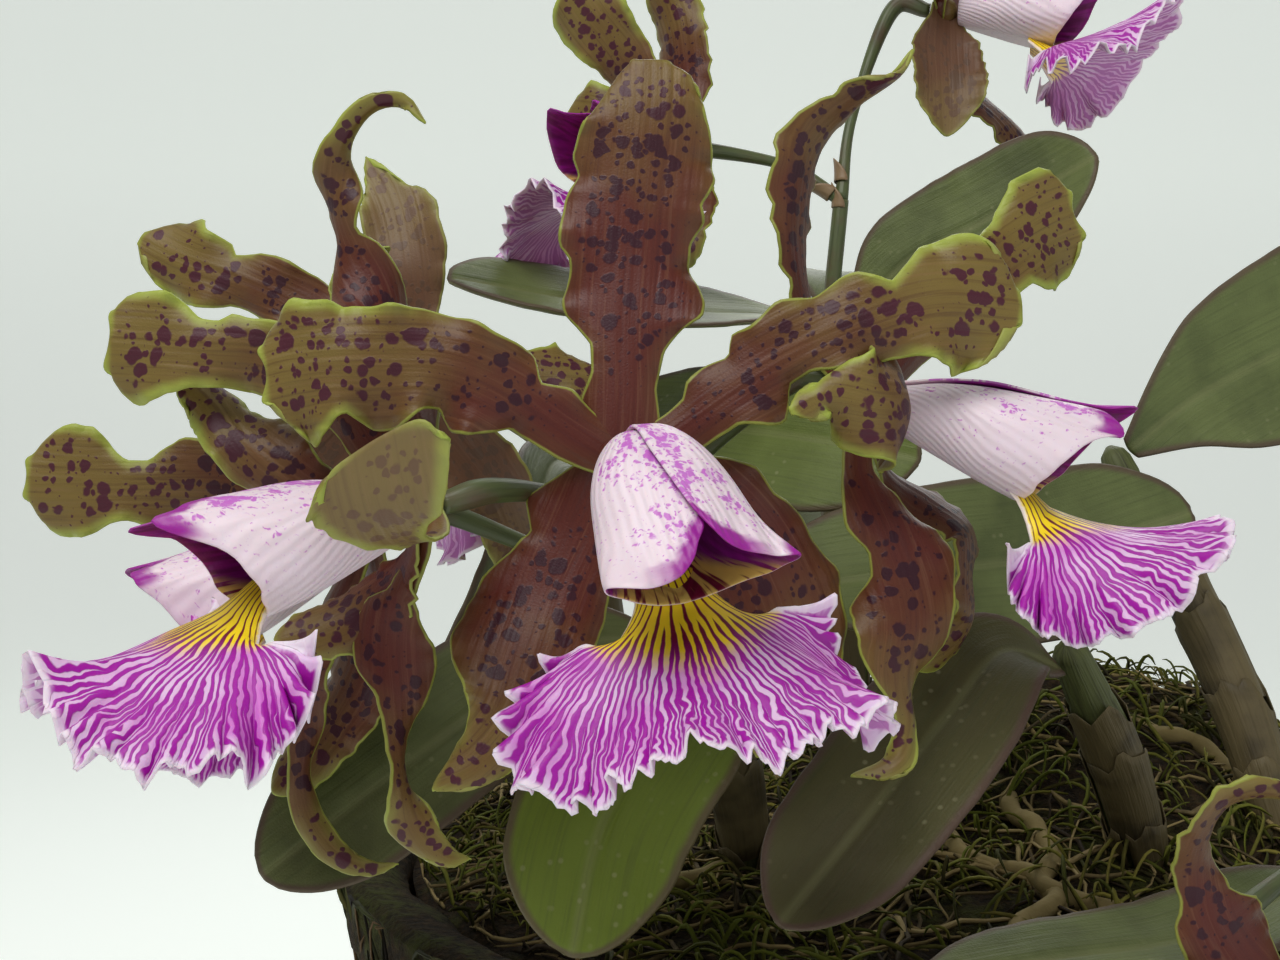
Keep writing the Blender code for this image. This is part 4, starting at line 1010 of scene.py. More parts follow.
@dataclass
class Bloom:
    """One flower: its hub and five brown blades, the lip's tube and front lobe, and the column inside."""

    name: str
    centre: tuple
    axis: tuple
    blades: Sequence[Blade]
    roll: float = 0.0
    horn: tuple = (35.5, 6.5, 8.5)
    margins: tuple = ()
    hood: tuple = (0.0, 0.0, 0.0, 0.0)
    horn_place: float = 0.66
    lobe_spread: float = 106.0
    lobe_lift: float = 0.005
    lobe_turn: float = 0.0
    lobe_place: float = 20.0
    lobe_rise: float = -6.2
    frill: float = 1.0
    horn_stain: tuple = (1.0, 1.0)
    pitch: float = -6.0
    seed: float = 0.0
    lobe_size: float = LOBE_SIZE
    lobe_curl: float = 17.0
    grain: Grain = Grain.FAR
    lip_thickness: float = 0.6

    def axes(self) -> Array:
        """The lip's forward, up and right directions, as rows."""
        forward = Vector(self.axis).normalized()
        up = (Vector((0, 0, 1)) - forward * forward.z).normalized()
        right = up.cross(forward)
        turn = math.radians(self.roll)
        up, right = up * math.cos(turn) + right * math.sin(turn), right * math.cos(turn) - up * math.sin(turn)
        return np.array([forward, up, right])

    def place(self, local: Array) -> Array:
        """Points in mm from rows of (forward, up, right)."""
        return np.asarray(self.centre) + local @ self.axes()

    def back(self) -> Array:
        """Two points behind the bloom, where its stalk arrives."""
        forward = self.axes()[0]
        return np.asarray(self.centre) - forward * np.array([[12.0], [HUB_RADIUS + SEAT_GAP]])

    def tepals(self) -> Shell:
        """The hub with its sepals and petals."""
        turn = np.linspace(-0.99, 0.99, HUB_RINGS) * math.pi / 2
        centre = np.asarray(self.centre, float)
        line = centre + self.axes()[0] * HUB_RADIUS * np.sin(turn)[:, None]
        plain = {"edge": 9.0, "width": 1.0, "face": 1.0}
        shell = Shell().rod(line, HUB_RADIUS * np.cos(turn), ROD_SIDES, plain)
        for number, blade in enumerate(self.blades, 7 * int(self.seed * 3)):
            blade.grow(centre, *self.grain.value[:2], number, shell)
        return shell

    def tube(self) -> Shell:
        """The side lobes, wrapped over the column to a tube with two horns."""
        rows, columns = self.grain.value[2:4]
        along, across = (part.ravel() for part in net(np.linspace(0, 1, rows), columns, 1, -1))
        reach = np.abs(across)
        swerve = tuple(np.array(self.horn) - (1.8, 3.4, -2.2))
        plain = (*MARGIN_FOOT, swerve, self.horn, *MARGIN_TOP)
        edges = [smooth(margin, reach) for margin in self.margins or (plain, plain)]
        rim = np.where(across[:, None] < 0, *edges)
        rows_out = [smooth(row, reach) for row in TUBE_ROWS]
        spots = smooth(np.array([*rows_out, rim]), along)
        spots[:, 1] += smooth(self.hood, along) * rise(reach, 0.25, 0.85)
        spots[:, 2] *= 1 + 0.025 * smooth(self.hood, along) * rise(reach, 0.2, 0.5)
        lap = np.clip((reach - 0.7) / 0.3, 0, 1)
        spots[:, 1] += SEAM_LAP * lap * np.sign(across)
        frill = rise(along, 0.7, 1.0) * wobble(across, self.seed + 3, 5.0)
        spots[:, 0] += 0.4 * frill * rise(reach, 0.1, 0.4)
        spots[:, 1] += 0.3 * frill * rise(reach, 0.2, 0.5) * (1 - lap)
        spots[:, 2] *= np.where(across < 0, -1, 1)
        around = np.tile(np.linspace(TUBE_GIRTH / 2, -TUBE_GIRTH / 2, columns), rows)
        flat = np.stack([around + SEED_SHIFT * self.seed, spots[:, 0], np.zeros_like(along)], axis=1)
        edge = np.minimum((1 - along) * 26, (1 - reach) * 22 + 1.6)
        horn = np.exp(-(((reach - self.horn_place) / HORN_HALF) ** 2)) * rise(along, 0.80, 1.0)
        horn *= np.where(across < 0, *self.horn_stain)
        values = {"along": along, "around": reach, "edge": edge, "horn": horn, "flat": flat}
        thick = self.lip_thickness * (0.6 + 0.4 * np.clip(edge / 1.5, 0, 1))
        return Shell().sheet(self.place(spots).reshape(rows, columns, 3), thick, values)

    def lobe(self) -> Shell:
        """The broad front lobe on its neck, ruffled and fringed at the rim."""
        rows, columns = self.grain.value[4:6]
        share = np.linspace(0, 1, rows)
        along, across = (part.ravel() for part in net(1 - (1 - share) ** RIM_CROWD, columns, -1, 1))
        neck = np.clip(along / NECK_SHARE, 0, 1)
        spread = np.clip((along - NECK_SHARE) / (1 - NECK_SHARE), 0, 1)
        angle = np.radians(self.lobe_spread * across - self.lobe_turn)
        reach = self.lobe_size * spread * smooth(LOBE, np.abs(across))
        reach *= 1 + 0.04 * spread * np.cos(5 * angle + self.seed)
        scale = self.lobe_size / LOBE_SIZE
        teeth = 0.55 + 0.45 * wobble(across, self.seed + 9, 9.0)
        reach += scale * rise(spread, 0.86, 1.0) * (0.42 * teeth * wobble(across, self.seed + 1, 58.0) - 0.1)
        reach += scale * spread**2 * 0.9 * wobble(across, self.seed + 5, 8.0)
        edges = np.abs(across) ** 3 * spread**3
        reach += scale * 0.5 * edges * wobble(across, self.seed + 7, 12.0)
        out = reach * np.sin(angle) + NECK_WIDTH * across * (0.85 + 0.95 * neck**2) * (1 - 0.7 * spread)
        ahead = reach * np.cos(angle)
        ruffle = 2.6 * spread**2.2 * np.sin(6.3 * angle + self.seed)
        ruffle = ruffle + 1.1 * spread**3.5 * np.sin(13.7 * angle + 2 * self.seed)
        ruffle += self.frill * scale * (1.3 + 2.9 * edges) * spread**4 * wobble(across, self.seed + 2, 13.0)
        ruffle += self.frill * scale * 0.45 * spread**9 * wobble(across, self.seed + 4, 29.0)
        curl = NECK_CURL + (self.lobe_curl - NECK_CURL) * rise(along, NECK_SHARE * 0.25, 0.42)
        bend = out / curl
        right = (curl - ruffle) * np.sin(bend)
        drop = curl - (curl - ruffle) * np.cos(bend)
        tilt = math.radians(self.pitch)
        lift = ahead * math.sin(tilt) + self.lobe_lift * np.maximum(ahead, 0) ** 2
        forward = self.lobe_place + NECK_RUN * neck + ahead * math.cos(tilt) - 0.3 * drop * math.sin(tilt)
        spots = np.stack([forward, self.lobe_rise - NECK_DROP * neck + lift - drop, right], axis=1)
        shift = SEED_SHIFT * self.seed
        flat = np.stack([out + shift, ahead + NECK_PATTERN * neck, np.full_like(out, shift)], axis=1)
        rim = self.lobe_size * smooth(LOBE, np.abs(across))
        edge = np.minimum((1 - spread) * rim, (1 - np.abs(across)) * np.maximum(reach, 4.2) * 1.6)
        told = NECK_PATTERN * neck * 0.5 + rim * spread / scale
        values = {"across": across, "reach": told, "edge": edge, "flat": flat}
        thick = self.lip_thickness * (0.5 + 0.5 * np.clip(edge / 2.0, 0, 1))
        return Shell().sheet(self.place(spots).reshape(rows, columns, 3), thick, values)

    def column(self) -> Shell:
        """The column, with its cap at the tip."""
        start, end = HUB_RADIUS + SEAT_GAP, HUB_RADIUS + SEAT_GAP + COLUMN_LENGTH
        route = ((start, 0, 0), (start + 7, 0.5, 0), (start + 14, 1.4, 0), (end, 2.0, 0))
        share = np.linspace(0, 1, COLUMN_RINGS)
        radii = smooth(COLUMN_RADII, share) * np.sqrt(np.clip(1.02 - rise(share, 0.9, 1.0) ** 2, 0.01, 1))
        return Shell().rod(self.place(smooth(route, share)), radii, ROD_SIDES)

    def build(self) -> None:
        """Makes the bloom's pieces."""
        lip, node = f"bloom_{self.name}_lip", f"bloom_{self.name}"
        present(self.tepals(), f"{self.name}_tepals", TepalFinish(), "tepal", f"{node}_sepals_petals")
        present(self.tube(), f"{self.name}_lip_tube", TubeFinish(), "lip", lip)
        present(self.lobe(), f"{self.name}_lip_lobe", LobeFinish(), "lip", lip)
        present(self.column(), f"{self.name}_column_flesh", ColumnFinish(), "column", f"{node}_column")


CENTRE_BLADES = (
    Blade(
        ((0.5, 1, 9), (0.5, 2.4, 19), (1.2, 4, 30), (2.2, 4.5, 41), (3.2, 5, 50.5), (3.4, 7, 58.6)),
        ((0, -1, 0.1), (0, -1, 0.05), (0.05, -1, 0.1), (0, -1, 0.5)), 20,
        left=(
            (0, 4.2), (0.06, 4.2), (0.14, 5.9), (0.21, 4.3), (0.28, 4.4), (0.35, 8.2), (0.39, 8.8), (0.45, 8),
            (0.48, 8.2), (0.51, 9.8), (0.57, 9.9), (0.62, 9.4), (0.69, 8), (0.73, 9.4), (0.83, 7.9),
            (0.91, 5.9), (0.96, 4.4), (1, 2.8),
        ),
        right=(
            (0, 5), (0.08, 5.6), (0.17, 4.7), (0.26, 5.9), (0.32, 8.5), (0.35, 11.2), (0.39, 11.5),
            (0.44, 10.8), (0.49, 9), (0.54, 9), (0.6, 10.8), (0.64, 10), (0.71, 12.1), (0.76, 11.2),
            (0.82, 10.5), (0.9, 9.3), (0.96, 8), (1, 7),
        ),
        root=(0, 0.2, 0), cup=(0.3, 0.25, 0.4), waves=3.4, wave_height=1.2, phase=0.6, tip=0.04, blunt=0.72,
        notch=0.8, scallop=0.02, tone=-0.22,
    ),
    Petal(
        ((-6, -0.5, 3.5), (-14, -2, 9), (-23, -4, 13), (-34, -4.5, 13.5), (-44, -4, 13), (-51, -2, 11.5)),
        ((0, -1, 0.2), (0, -1, 0.15), (0, -1, 0), (-0.2, -1, 0.1)), 19,
        left=(
            (0, 3), (0.13, 4.3), (0.27, 4.6), (0.3, 5.8), (0.37, 8.6), (0.42, 8.8), (0.49, 6.2), (0.55, 7),
            (0.62, 9.4), (0.69, 9.7), (0.75, 6.9), (0.78, 8), (0.82, 10), (0.89, 11.3), (0.94, 9.4), (1, 7.4),
        ),
        right=(
            (0, 3), (0.2, 4.8), (0.27, 2.9), (0.29, 4.6), (0.31, 6.3), (0.42, 6.1), (0.5, 6.6), (0.56, 7.4),
            (0.72, 7.4), (0.76, 7.5), (0.79, 8.6), (0.89, 8.9), (0.95, 7.8), (1, 6.4),
        ),
        cup=(0.3, 0.2, 0.3), waves=4.6, wave_height=1.9, phase=2.0, tip=0.05, blunt=0.66, notch=2.6,
        tone=0.05,
    ),
    Petal(
        ((7, 0, 3.5), (15, -0.5, 9), (24, -1.5, 14.5), (34, -2, 19), (45, -1, 22), (57, 2, 21.5)),
        ((0, -1, 0.3), (0, -1, 0.2), (0, -1, 0.1), (0.2, -1, 0.15)), 19,
        left=(
            (0, 2.6), (0.14, 2.6), (0.2, 2.9), (0.22, 4.5), (0.27, 5.2), (0.33, 4.4), (0.36, 7.2), (0.4, 6.4),
            (0.48, 7.3), (0.55, 6), (0.61, 7.1), (0.65, 6.9), (0.71, 3.9), (0.76, 6.2), (0.8, 8.6),
            (0.87, 10), (0.94, 9.4), (1, 7),
        ),
        right=(
            (0, 2.8), (0.13, 3.9), (0.27, 4.6), (0.32, 6.8), (0.36, 7.6), (0.38, 6.4), (0.41, 3.5),
            (0.47, 3.3), (0.55, 5.2), (0.7, 6.6), (0.79, 8.3), (0.85, 10.7), (0.9, 9.7), (0.96, 8.6), (1, 7),
        ),
        cup=(0.3, 0.2, 0.3), waves=4.2, wave_height=1.7, phase=0.4, tip=0.07, blunt=0.5, tone=0.05,
    ),
    Lateral(
        ((-4, 2, -9), (-8, 1, -18), (-11, -2, -27), (-14, -5, -36), (-19, -7, -42), (-25, -7, -45)),
        ((0, -1, -0.1), (-0.2, -1, 0.1), (0.1, -1, 0.1), (0, -1, 0.2)), 20,
        left=(
            (0, 3), (0.2, 5.5), (0.36, 6.8), (0.47, 7.2), (0.54, 7), (0.62, 5.4), (0.7, 3.8), (0.76, 3),
            (0.81, 3.7), (0.86, 3.5), (0.92, 2.4), (1, 1.4),
        ),
        right=(
            (0, 3), (0.12, 7.4), (0.2, 11), (0.235, 9.2), (0.27, 7.6), (0.31, 8.6), (0.36, 10.6),
            (0.43, 12.6), (0.52, 13), (0.61, 12.2), (0.69, 8.8), (0.77, 6.6), (0.85, 4.9), (0.93, 4.6),
            (1, 2.4),
        ),
        cup=(0.5, 0.4, 0.6), waves=2.4, wave_height=1.7, phase=3.0, tip=0.10,
    ),
    Lateral(
        ((9, 3.5, -6), (17, 5, -14), (21.5, 5, -24), (22, 5, -34), (20, 6, -43)),
        ((0, -1, 0.1), (0.1, -1, 0.1), (0, -1, 0.1)), 19,
        left=(
            (0, 3), (0.15, 6), (0.25, 9.5), (0.31, 10.9), (0.38, 10.4), (0.44, 12), (0.49, 11.4),
            (0.57, 12.6), (0.66, 11.8), (0.75, 10), (0.85, 7.5), (1, 3.5),
        ),
        right=((0, 3), (0.2, 5.5), (0.5, 7.5), (0.7, 7), (0.85, 5.4), (1, 3)),
        cup=(0.4, 0.3, 0.5), waves=2.6, wave_height=1.3, phase=1.0,
    ),
)
RIGHT_BLADES = (
    Blade(
        (
            (-7, 1, 8), (-10.3, 1, 17.5), (-11, 1, 28), (-8.8, 0, 38.8), (-2.5, -2, 44.8), (3.2, -3, 48),
            (5.6, -3, 52),
        ),
        (
            (0.9, -0.5, 0.2), (0.9, -0.5, 0.1), (0.85, -0.55, 0), (0.8, -0.6, -0.2), (0.6, -0.6, -0.5),
            (0.4, 0.6, -0.7),
        ), 12,
        left=(
            (0, 2.5), (0.25, 4.4), (0.34, 3.4), (0.45, 5.6), (0.65, 5.6), (0.78, 3.6), (0.88, 3.8), (1, 0.9),
        ),
        right=((0, 2.5), (0.3, 4.8), (0.5, 5.4), (0.7, 5), (0.82, 2.8), (0.9, 3.2), (1, 0.9)),
        cup=(0.6, 0.7, 0.9), waves=2.2, wave_height=0.8, phase=0.5, tip=0.10, tone=-0.1,
    ),
    Petal(
        ((2.4, -8, -0.5), (2.4, -15, -1), (-2.5, -19.5, -1), (-9, -20.5, 0), (-14.5, -20.5, -2.5)),
        ((0.9, -0.1, 0.3), (0.9, -0.3, 0.2), (0.6, -0.9, 0.1), (0.1, -1, 0.1), (-0.2, -1, 0)), 20,
        left=(
            (0, 2.4), (0.3, 2.6), (0.38, 6), (0.44, 10.4), (0.52, 9.8), (0.62, 8.6), (0.72, 7.8), (0.8, 5.4),
            (0.87, 2.8), (0.94, 4.2), (1, 2.6),
        ),
        right=(
            (0, 2.4), (0.3, 2.6), (0.38, 7.4), (0.46, 10.2), (0.58, 10.2), (0.68, 7.8), (0.76, 5.6),
            (0.82, 3.2), (0.88, 1.6), (0.94, 2.4), (1, 1.6),
        ),
        cup=(0.4, 0.7, 0.9), waves=2.7, wave_height=3.2, phase=2.2, tip=0.08, blunt=0.4, tone=0.15,
    ),
    Petal(
        ((7, 6, 8), (15, 13, 16), (23, 20, 24), (33, 25, 31), (40.5, 27, 34)),
        ((0.8, -0.5, 0.2), (0.6, -0.8, 0.1), (0.3, -1, 0.1), (0.2, -1, 0)), 18,
        left=((0, 2.2), (0.3, 3.2), (0.6, 4.4), (0.72, 4.8), (0.79, 6.2), (0.86, 8.9), (0.95, 9.2), (1, 7)),
        right=((0, 2.2), (0.3, 4), (0.6, 6.2), (0.73, 7.4), (0.78, 9.6), (0.84, 10.9), (0.92, 9.8), (1, 8.4)),
        cup=(0.4, 0.2, 0.3), waves=3.0, wave_height=1.4, phase=1.0, tip=0.06, blunt=0.62, notch=2.4,
        tone=0.12,
    ),
    Lateral(
        (
            (-3, -5, -10), (0, -10, -20), (3, -12, -31), (2, -12, -40), (3, -12, -47), (1, -13, -52),
            (-5, -13, -54),
        ),
        ((0.4, -0.9, 0.2), (0.3, -1, 0.1), (0.1, -1, 0), (0.3, -0.8, 0.3), (-0.3, -0.6, 0.9)), 14,
        left=(
            (0, 2), (0.2, 3), (0.33, 6.8), (0.39, 9.4), (0.46, 9.5), (0.52, 8), (0.61, 6.2), (0.67, 4.2),
            (0.75, 2.2), (0.83, 1.7), (0.91, 2.6), (1, 1.2),
        ),
        right=(
            (0, 2), (0.2, 2.2), (0.29, 4.6), (0.34, 4.8), (0.39, 2.6), (0.45, 3.4), (0.52, 7.8), (0.61, 7.6),
            (0.68, 5.4), (0.75, 1.9), (0.83, 1.5), (0.91, 2.4), (1, 1.2),
        ),
        cup=(0.6, 0.4, 0.5, 0.9), waves=2.4, wave_height=1.5, phase=3.6, tip=0.08,
    ),
    Lateral(
        ((3, 6, -10), (10, 8, -15), (16, 7, -20), (16, 6, -27), (16, 6, -34), (11, 6, -39), (6, 7, -40)),
        ((0.3, -0.8, 0.5), (0.1, -0.5, 0.9), (0.8, -0.5, 0.5), (0.9, -0.5, -0.1), (0.5, -0.9, 0.2)), 11,
        cup=(0.5, 0.6, 0.9), waves=2.0, wave_height=1.0,
    ),
)
LEFT_BLADES = (
    Blade(
        (
            (-3, 8, 13), (-8, 14, 28), (-13.5, 16, 39), (-14.8, 15, 46.5), (-13.6, 13, 53), (-9, 11.5, 58),
            (-4, 11, 58.6), (-1, 10.5, 55.5),
        ),
        (
            (-0.7, -0.7, 0.2), (-0.5, -0.8, 0.2), (0, -1, 0.1), (0.95, -0.4, 0.1), (0.2, -0.9, 0.1),
            (-0.7, -0.7, 0.1), (0.3, -0.5, -0.8), (0.5, -0.5, -0.6), (0.8, -0.5, -0.2),
        ), 13,
        left=(
            (0, 2.5), (0.25, 5.4), (0.43, 7), (0.5, 6.2), (0.56, 4.2), (0.6, 2.6), (0.68, 4.4), (0.74, 3.4),
            (0.8, 2), (0.9, 1.7), (1, 0.7),
        ),
        right=(
            (0, 2.5), (0.25, 5), (0.43, 6.8), (0.5, 6), (0.56, 4.6), (0.6, 2.6), (0.67, 4.6), (0.74, 3),
            (0.8, 2.2), (0.9, 1.7), (1, 0.7),
        ),
        cup=(0.5, 0.5, 0.8, 0.9), waves=1.6, wave_height=0.8, phase=1.2, tip=0.06, tone=-0.1,
    ),
    Petal(
        ((2.5, -8, -2.6), (2, -16, -3.6), (1, -22.5, -2.4), (0.2, -27.5, 1.4), (-0.8, -30, 8.3)),
        (
            (-0.7, -0.5, 0.4), (-0.4, -0.1, 0.9), (-0.2, 0.1, 0.9), (-0.1, 0.5, 0.8), (0, 0.9, 0.4),
            (0, 1, 0.2),
        ), 19,
        left=((0, 2.5), (0.58, 2.4), (0.66, 3.6), (0.76, 6.4), (0.88, 8.2), (0.96, 9.4), (1, 9.4)),
        right=((0, 2.5), (0.55, 2.6), (0.62, 4.6), (0.7, 7.2), (0.79, 8.8), (0.92, 9.6), (1, 8.8)),
        cup=(0.4, 0.3, 0.3), waves=1.2, wave_height=0.6, phase=0.9, tip=0.04, blunt=0.8, skew=-3.2, crimp=0.3,
        tone=0.35,
    ),
    Petal(
        ((-7, 8, 8), (-15, 12, 18), (-24, 13, 23), (-35, 13, 24), (-49, 13, 25)),
        ((-0.5, -0.8, 0.3), (-0.3, -1, 0.1), (0, -1, 0), (-0.1, -1, 0.1)), 17,
        left=(
            (0, 2.5), (0.4, 5), (0.6, 6.8), (0.71, 6.2), (0.78, 6.6), (0.85, 7.4), (0.89, 8.8), (0.94, 9.7),
            (1, 8.4),
        ),
        right=(
            (0, 2.5), (0.4, 4), (0.6, 4.2), (0.65, 3.9), (0.69, 4.5), (0.72, 3.4), (0.78, 3.8), (0.82, 5.6),
            (0.86, 6.9), (0.91, 7.3), (1, 6.8),
        ),
        cup=(0.4, 0.2, 0.3), waves=3.2, wave_height=1.3, phase=2.2, tip=0.05, blunt=0.66, notch=1.8,
        tone=0.05,
    ),
    Lateral(
        ((-4, 6, -9), (-10, 8, -14), (-16, 8, -17), (-22, 8, -19)),
        ((-0.4, -0.4, 0.8), (-0.2, -0.7, 0.8), (-0.1, -0.9, 0.6), (-0.1, -1, 0.4)), 13,
        cup=(0.6, 0.9, 1), waves=2.0, wave_height=1.0, phase=2.0,
    ),
    Lateral(
        (
            (-1, 3, -6), (-3.6, 4, -11.8), (-4.7, 5, -18.4), (-4.4, 4.5, -25.4), (-3.9, 4, -32.1),
            (-3.2, 4, -38), (-1, 4, -44.7), (2.7, 4.5, -48.6), (6.2, 5, -49.2),
        ),
        (
            (0.1, -0.9, 0.4), (-0.6, -0.7, 0.3), (-0.2, -1, 0.1), (0.1, -1, 0.1), (0.6, -0.8, 0.1),
            (0.9, -0.3, 0.1), (0, -1, 0.2), (-0.3, -0.8, 0.5),
        ), 12,
        left=(
            (0, 2), (0.24, 2.2), (0.3, 3.2), (0.36, 5.7), (0.42, 6.2), (0.49, 5.3), (0.55, 3.6), (0.61, 2),
            (0.68, 2.4), (0.77, 2.8), (0.86, 2.9), (0.93, 2.2), (1, 0.8),
        ),
        right=(
            (0, 2), (0.24, 2), (0.285, 5.5), (0.36, 6.5), (0.42, 5.4), (0.49, 2.6), (0.55, 2), (0.61, 1.9),
            (0.68, 2.2), (0.77, 3.2), (0.83, 4), (0.9, 2.8), (1, 0.8),
        ),
        cup=(0.5, 0.4, 0.6), waves=2.0, wave_height=0.9, phase=0.3, tip=0.06,
    ),
)
LEFT_LOW_BLADES = (
    Blade(
        ((-2, 6, 13), (-4, 10, 26), (-6, 12, 37), (-5, 13, 44), (1, 14, 47)),
        ((-0.8, -0.4, 0.1), (-0.7, 0.1, 0.1), (-0.8, 0.5, 0), (-0.5, 0.4, 0.8)), 11,
        cup=(0.5, 0.6, 0.8), waves=1.8, wave_height=0.8, phase=0.2,
    ),
    Petal(
        ((-5, -5, 5.5), (-11, -7.5, 10), (-17, -7, 15), (-21.5, -5, 20.5), (-27, -4, 25.5)),
        ((-0.6, -0.7, 0.4), (-0.3, -1, 0.2), (0.1, -1, 0), (0.6, -0.9, 0.1), (0.8, -0.7, 0)), 13,
        left=((0, 2.5), (0.3, 4.6), (0.55, 6), (0.72, 5.4), (0.85, 4.6), (0.95, 4.4), (1, 3.4)),
        right=((0, 2.5), (0.3, 4.6), (0.5, 7), (0.62, 7.4), (0.72, 4.8), (0.85, 4.4), (1, 3)),
        cup=(0.4, 0.7, 1.1), waves=2.8, wave_height=1.4, phase=1.2, tip=0.06, blunt=0.6,
    ),
    Petal(
        ((-9, 6, 6), (-20, 9, 8.5), (-33, 10, 9), (-45, 9, 9), (-57, 8, 9.5)),
        ((-0.6, -0.8, 0.2), (-0.3, -1, 0.1), (0, -1, 0), (0, -1, 0.1)), 17,
        left=(
            (0, 2.5), (0.4, 6), (0.6, 8), (0.64, 7.8), (0.69, 6.9), (0.73, 6.4), (0.77, 6.8), (0.81, 8.2),
            (0.86, 9.4), (0.9, 9.4), (0.95, 8.3), (1, 6.6),
        ),
        right=(
            (0, 2.5), (0.4, 5.5), (0.54, 6.4), (0.59, 7.1), (0.64, 4.8), (0.67, 3), (0.73, 3), (0.76, 4.6),
            (0.79, 6.6), (0.83, 8.5), (0.89, 9.1), (0.95, 8), (1, 6),
        ),
        cup=(0.4, 0.2, 0.3), wave_height=1.3, tip=0.07, blunt=0.6, notch=1.4, tone=0.05,
    ),
    Lateral(
        (
            (-6, 2, -12), (-10, 3, -22), (-10, 3, -31), (-10.6, 2.5, -38), (-9, 2, -44), (-4.6, 1, -49),
            (0.5, 1, -51), (4.6, 1, -50.3),
        ),
        (
            (-0.5, -0.7, 0.5), (-0.6, -0.8, 0.1), (-0.3, -1, 0.1), (0.6, -0.8, 0.1), (0, -1, 0.2),
            (0.2, -1, 0.5),
        ), 12,
        left=(
            (0, 2), (0.3, 3.6), (0.42, 3.8), (0.5, 3), (0.58, 1.4), (0.68, 2.2), (0.8, 2.4), (0.9, 1.8),
            (1, 0.6),
        ),
        right=((0, 2), (0.3, 4.2), (0.45, 4.2), (0.58, 2.4), (0.68, 2.2), (0.8, 2.8), (0.9, 1.8), (1, 0.6)),
        cup=(0.6, 0.5, 0.8), waves=2.0, wave_height=1.0, phase=1.0, tip=0.06,
    ),
    Lateral(
        ((0, 7, -11), (-3, 10, -21), (-8.5, 11, -31), (-16.5, 8.5, -41)),
        ((-0.4, -0.8, 0.4), (-0.5, -0.8, 0.1), (-0.4, -0.9, 0.1), (-0.2, -0.9, 0.5)), 14,
        waves=2.0, phase=3.0,
    ),
)
LEFT_FAR_BLADES = (
    Blade(
        ((-1, -2, 10), (-1.5, -3, 19), (-3, -1, 27), (-5.5, 1, 34), (-9.4, 3, 40.2)),
        ((0.1, 1, 0.2), (0, 1, 0.1), (0, 1, -0.1), (0.1, 1, -0.2)), 17,
        left=((0, 2.5), (0.3, 6), (0.5, 8.2), (0.68, 8), (0.76, 6.8), (0.81, 4), (0.88, 2.8), (1, 1)),
        right=((0, 2.5), (0.3, 5.4), (0.55, 6.6), (0.75, 5.6), (0.9, 3.4), (1, 1.2)),
        cup=(0.5, 0.4, 0.7), waves=2.2, wave_height=1.3, tip=0.08, phase=1.2,
    ),
    Petal(
        ((-9, -3, 6), (-19, -5, 12), (-30, -4, 17), (-41, -2, 21), (-49, 0, 25)),
        ((-0.2, -1, 0.3), (0, -1, 0.1), (0, -1, 0), (-0.2, -1, 0.2)), 16,
        left=((0, 2), (0.41, 5), (0.62, 4.4), (0.73, 7.4), (0.83, 6.8), (0.92, 6), (1, 3.8)),
        right=(
            (0, 2), (0.41, 6), (0.55, 6.4), (0.62, 5.6), (0.68, 3.4), (0.71, 5.8), (0.8, 6.6), (0.87, 8.6),
            (0.94, 6.6), (1, 4.4),
        ),
        cup=(0.4, 0.2, 0.5), waves=3.6, wave_height=2.0, phase=2.4, tip=0.06, blunt=0.5, tone=0.0,
    ),
    Petal(
        ((8, 1, 1), (16, 2, 2), (25, 4, 2), (34, 7, 1)),
        ((0.1, -1, 0.3), (0.1, -0.9, 0.5), (0, -0.8, 0.7)), 15,
        cup=(0.4, 0.6, 0.9), phase=0.7, tone=0.2,
    ),
    Lateral(
        ((-11, 0, -11), (-19, 1, -20), (-25, 3, -30), (-29, 5, -40)),
        ((-0.3, 1, 0.3), (-0.3, 1, 0.3), (-0.3, 1, 0.1)), 15,
        wave_height=1.3, phase=0.4,
    ),
    Lateral(
        ((8, 0, -11), (14, 2, -19), (17, 6, -27), (18, 11, -36)),
        ((0.2, 1, 0.3), (0.1, 1, 0.3), (0, 1, 0.2)), 15,
        wave_height=1.3, phase=2.0,
    ),
)
BACK_LEFT_BLADES = (
    Blade(
        ((2, 2, 11), (2, 4, 22), (0, 5, 32), (-5, 4, 41)),
        ((-0.7, -0.6, 0.3), (-0.6, -0.7, 0.2), (-0.5, -0.8, -0.2)), 15,
        cup=(0.5, 0.4, 0.8), waves=2.0, wave_height=1.3, phase=0.9,
    ),
    Petal(
        ((-5, -3, 9), (-11, -7, 18), (-17, -10, 25), (-22, -12, 32)),
        ((-0.6, -0.8, 0), (-0.5, -0.9, 0.1), (-0.3, -0.9, 0.2)), 17,
        phase=1.9,
    ),
    Petal(
        ((-6, 6, 4), (-12, 11, 8), (-18, 16, 11), (-24, 21, 13)),
        ((-0.6, -0.7, 0.3), (-0.4, -0.9, 0.1), (-0.2, -1, -0.1)), 17,
        wave_height=1.6, phase=0.1,
    ),
    Lateral(
        ((2, -6, -9), (2, -10, -16), (1, -13, -23), (0, -15, -29)),
        ((-0.6, -0.6, 0.4), (-0.5, -0.8, 0.2), (-0.4, -0.9, 0.2)), 14,
        phase=2.2,
    ),
    Lateral(
        ((-5, 8, -9), (-9, 15, -17), (-13, 21, -25), (-16, 25, -33)),
        ((-0.6, -0.8, -0.1), (-0.7, -0.5, 0.3), (-0.6, -0.7, 0.3)), 14,
        phase=0.4,
    ),
)
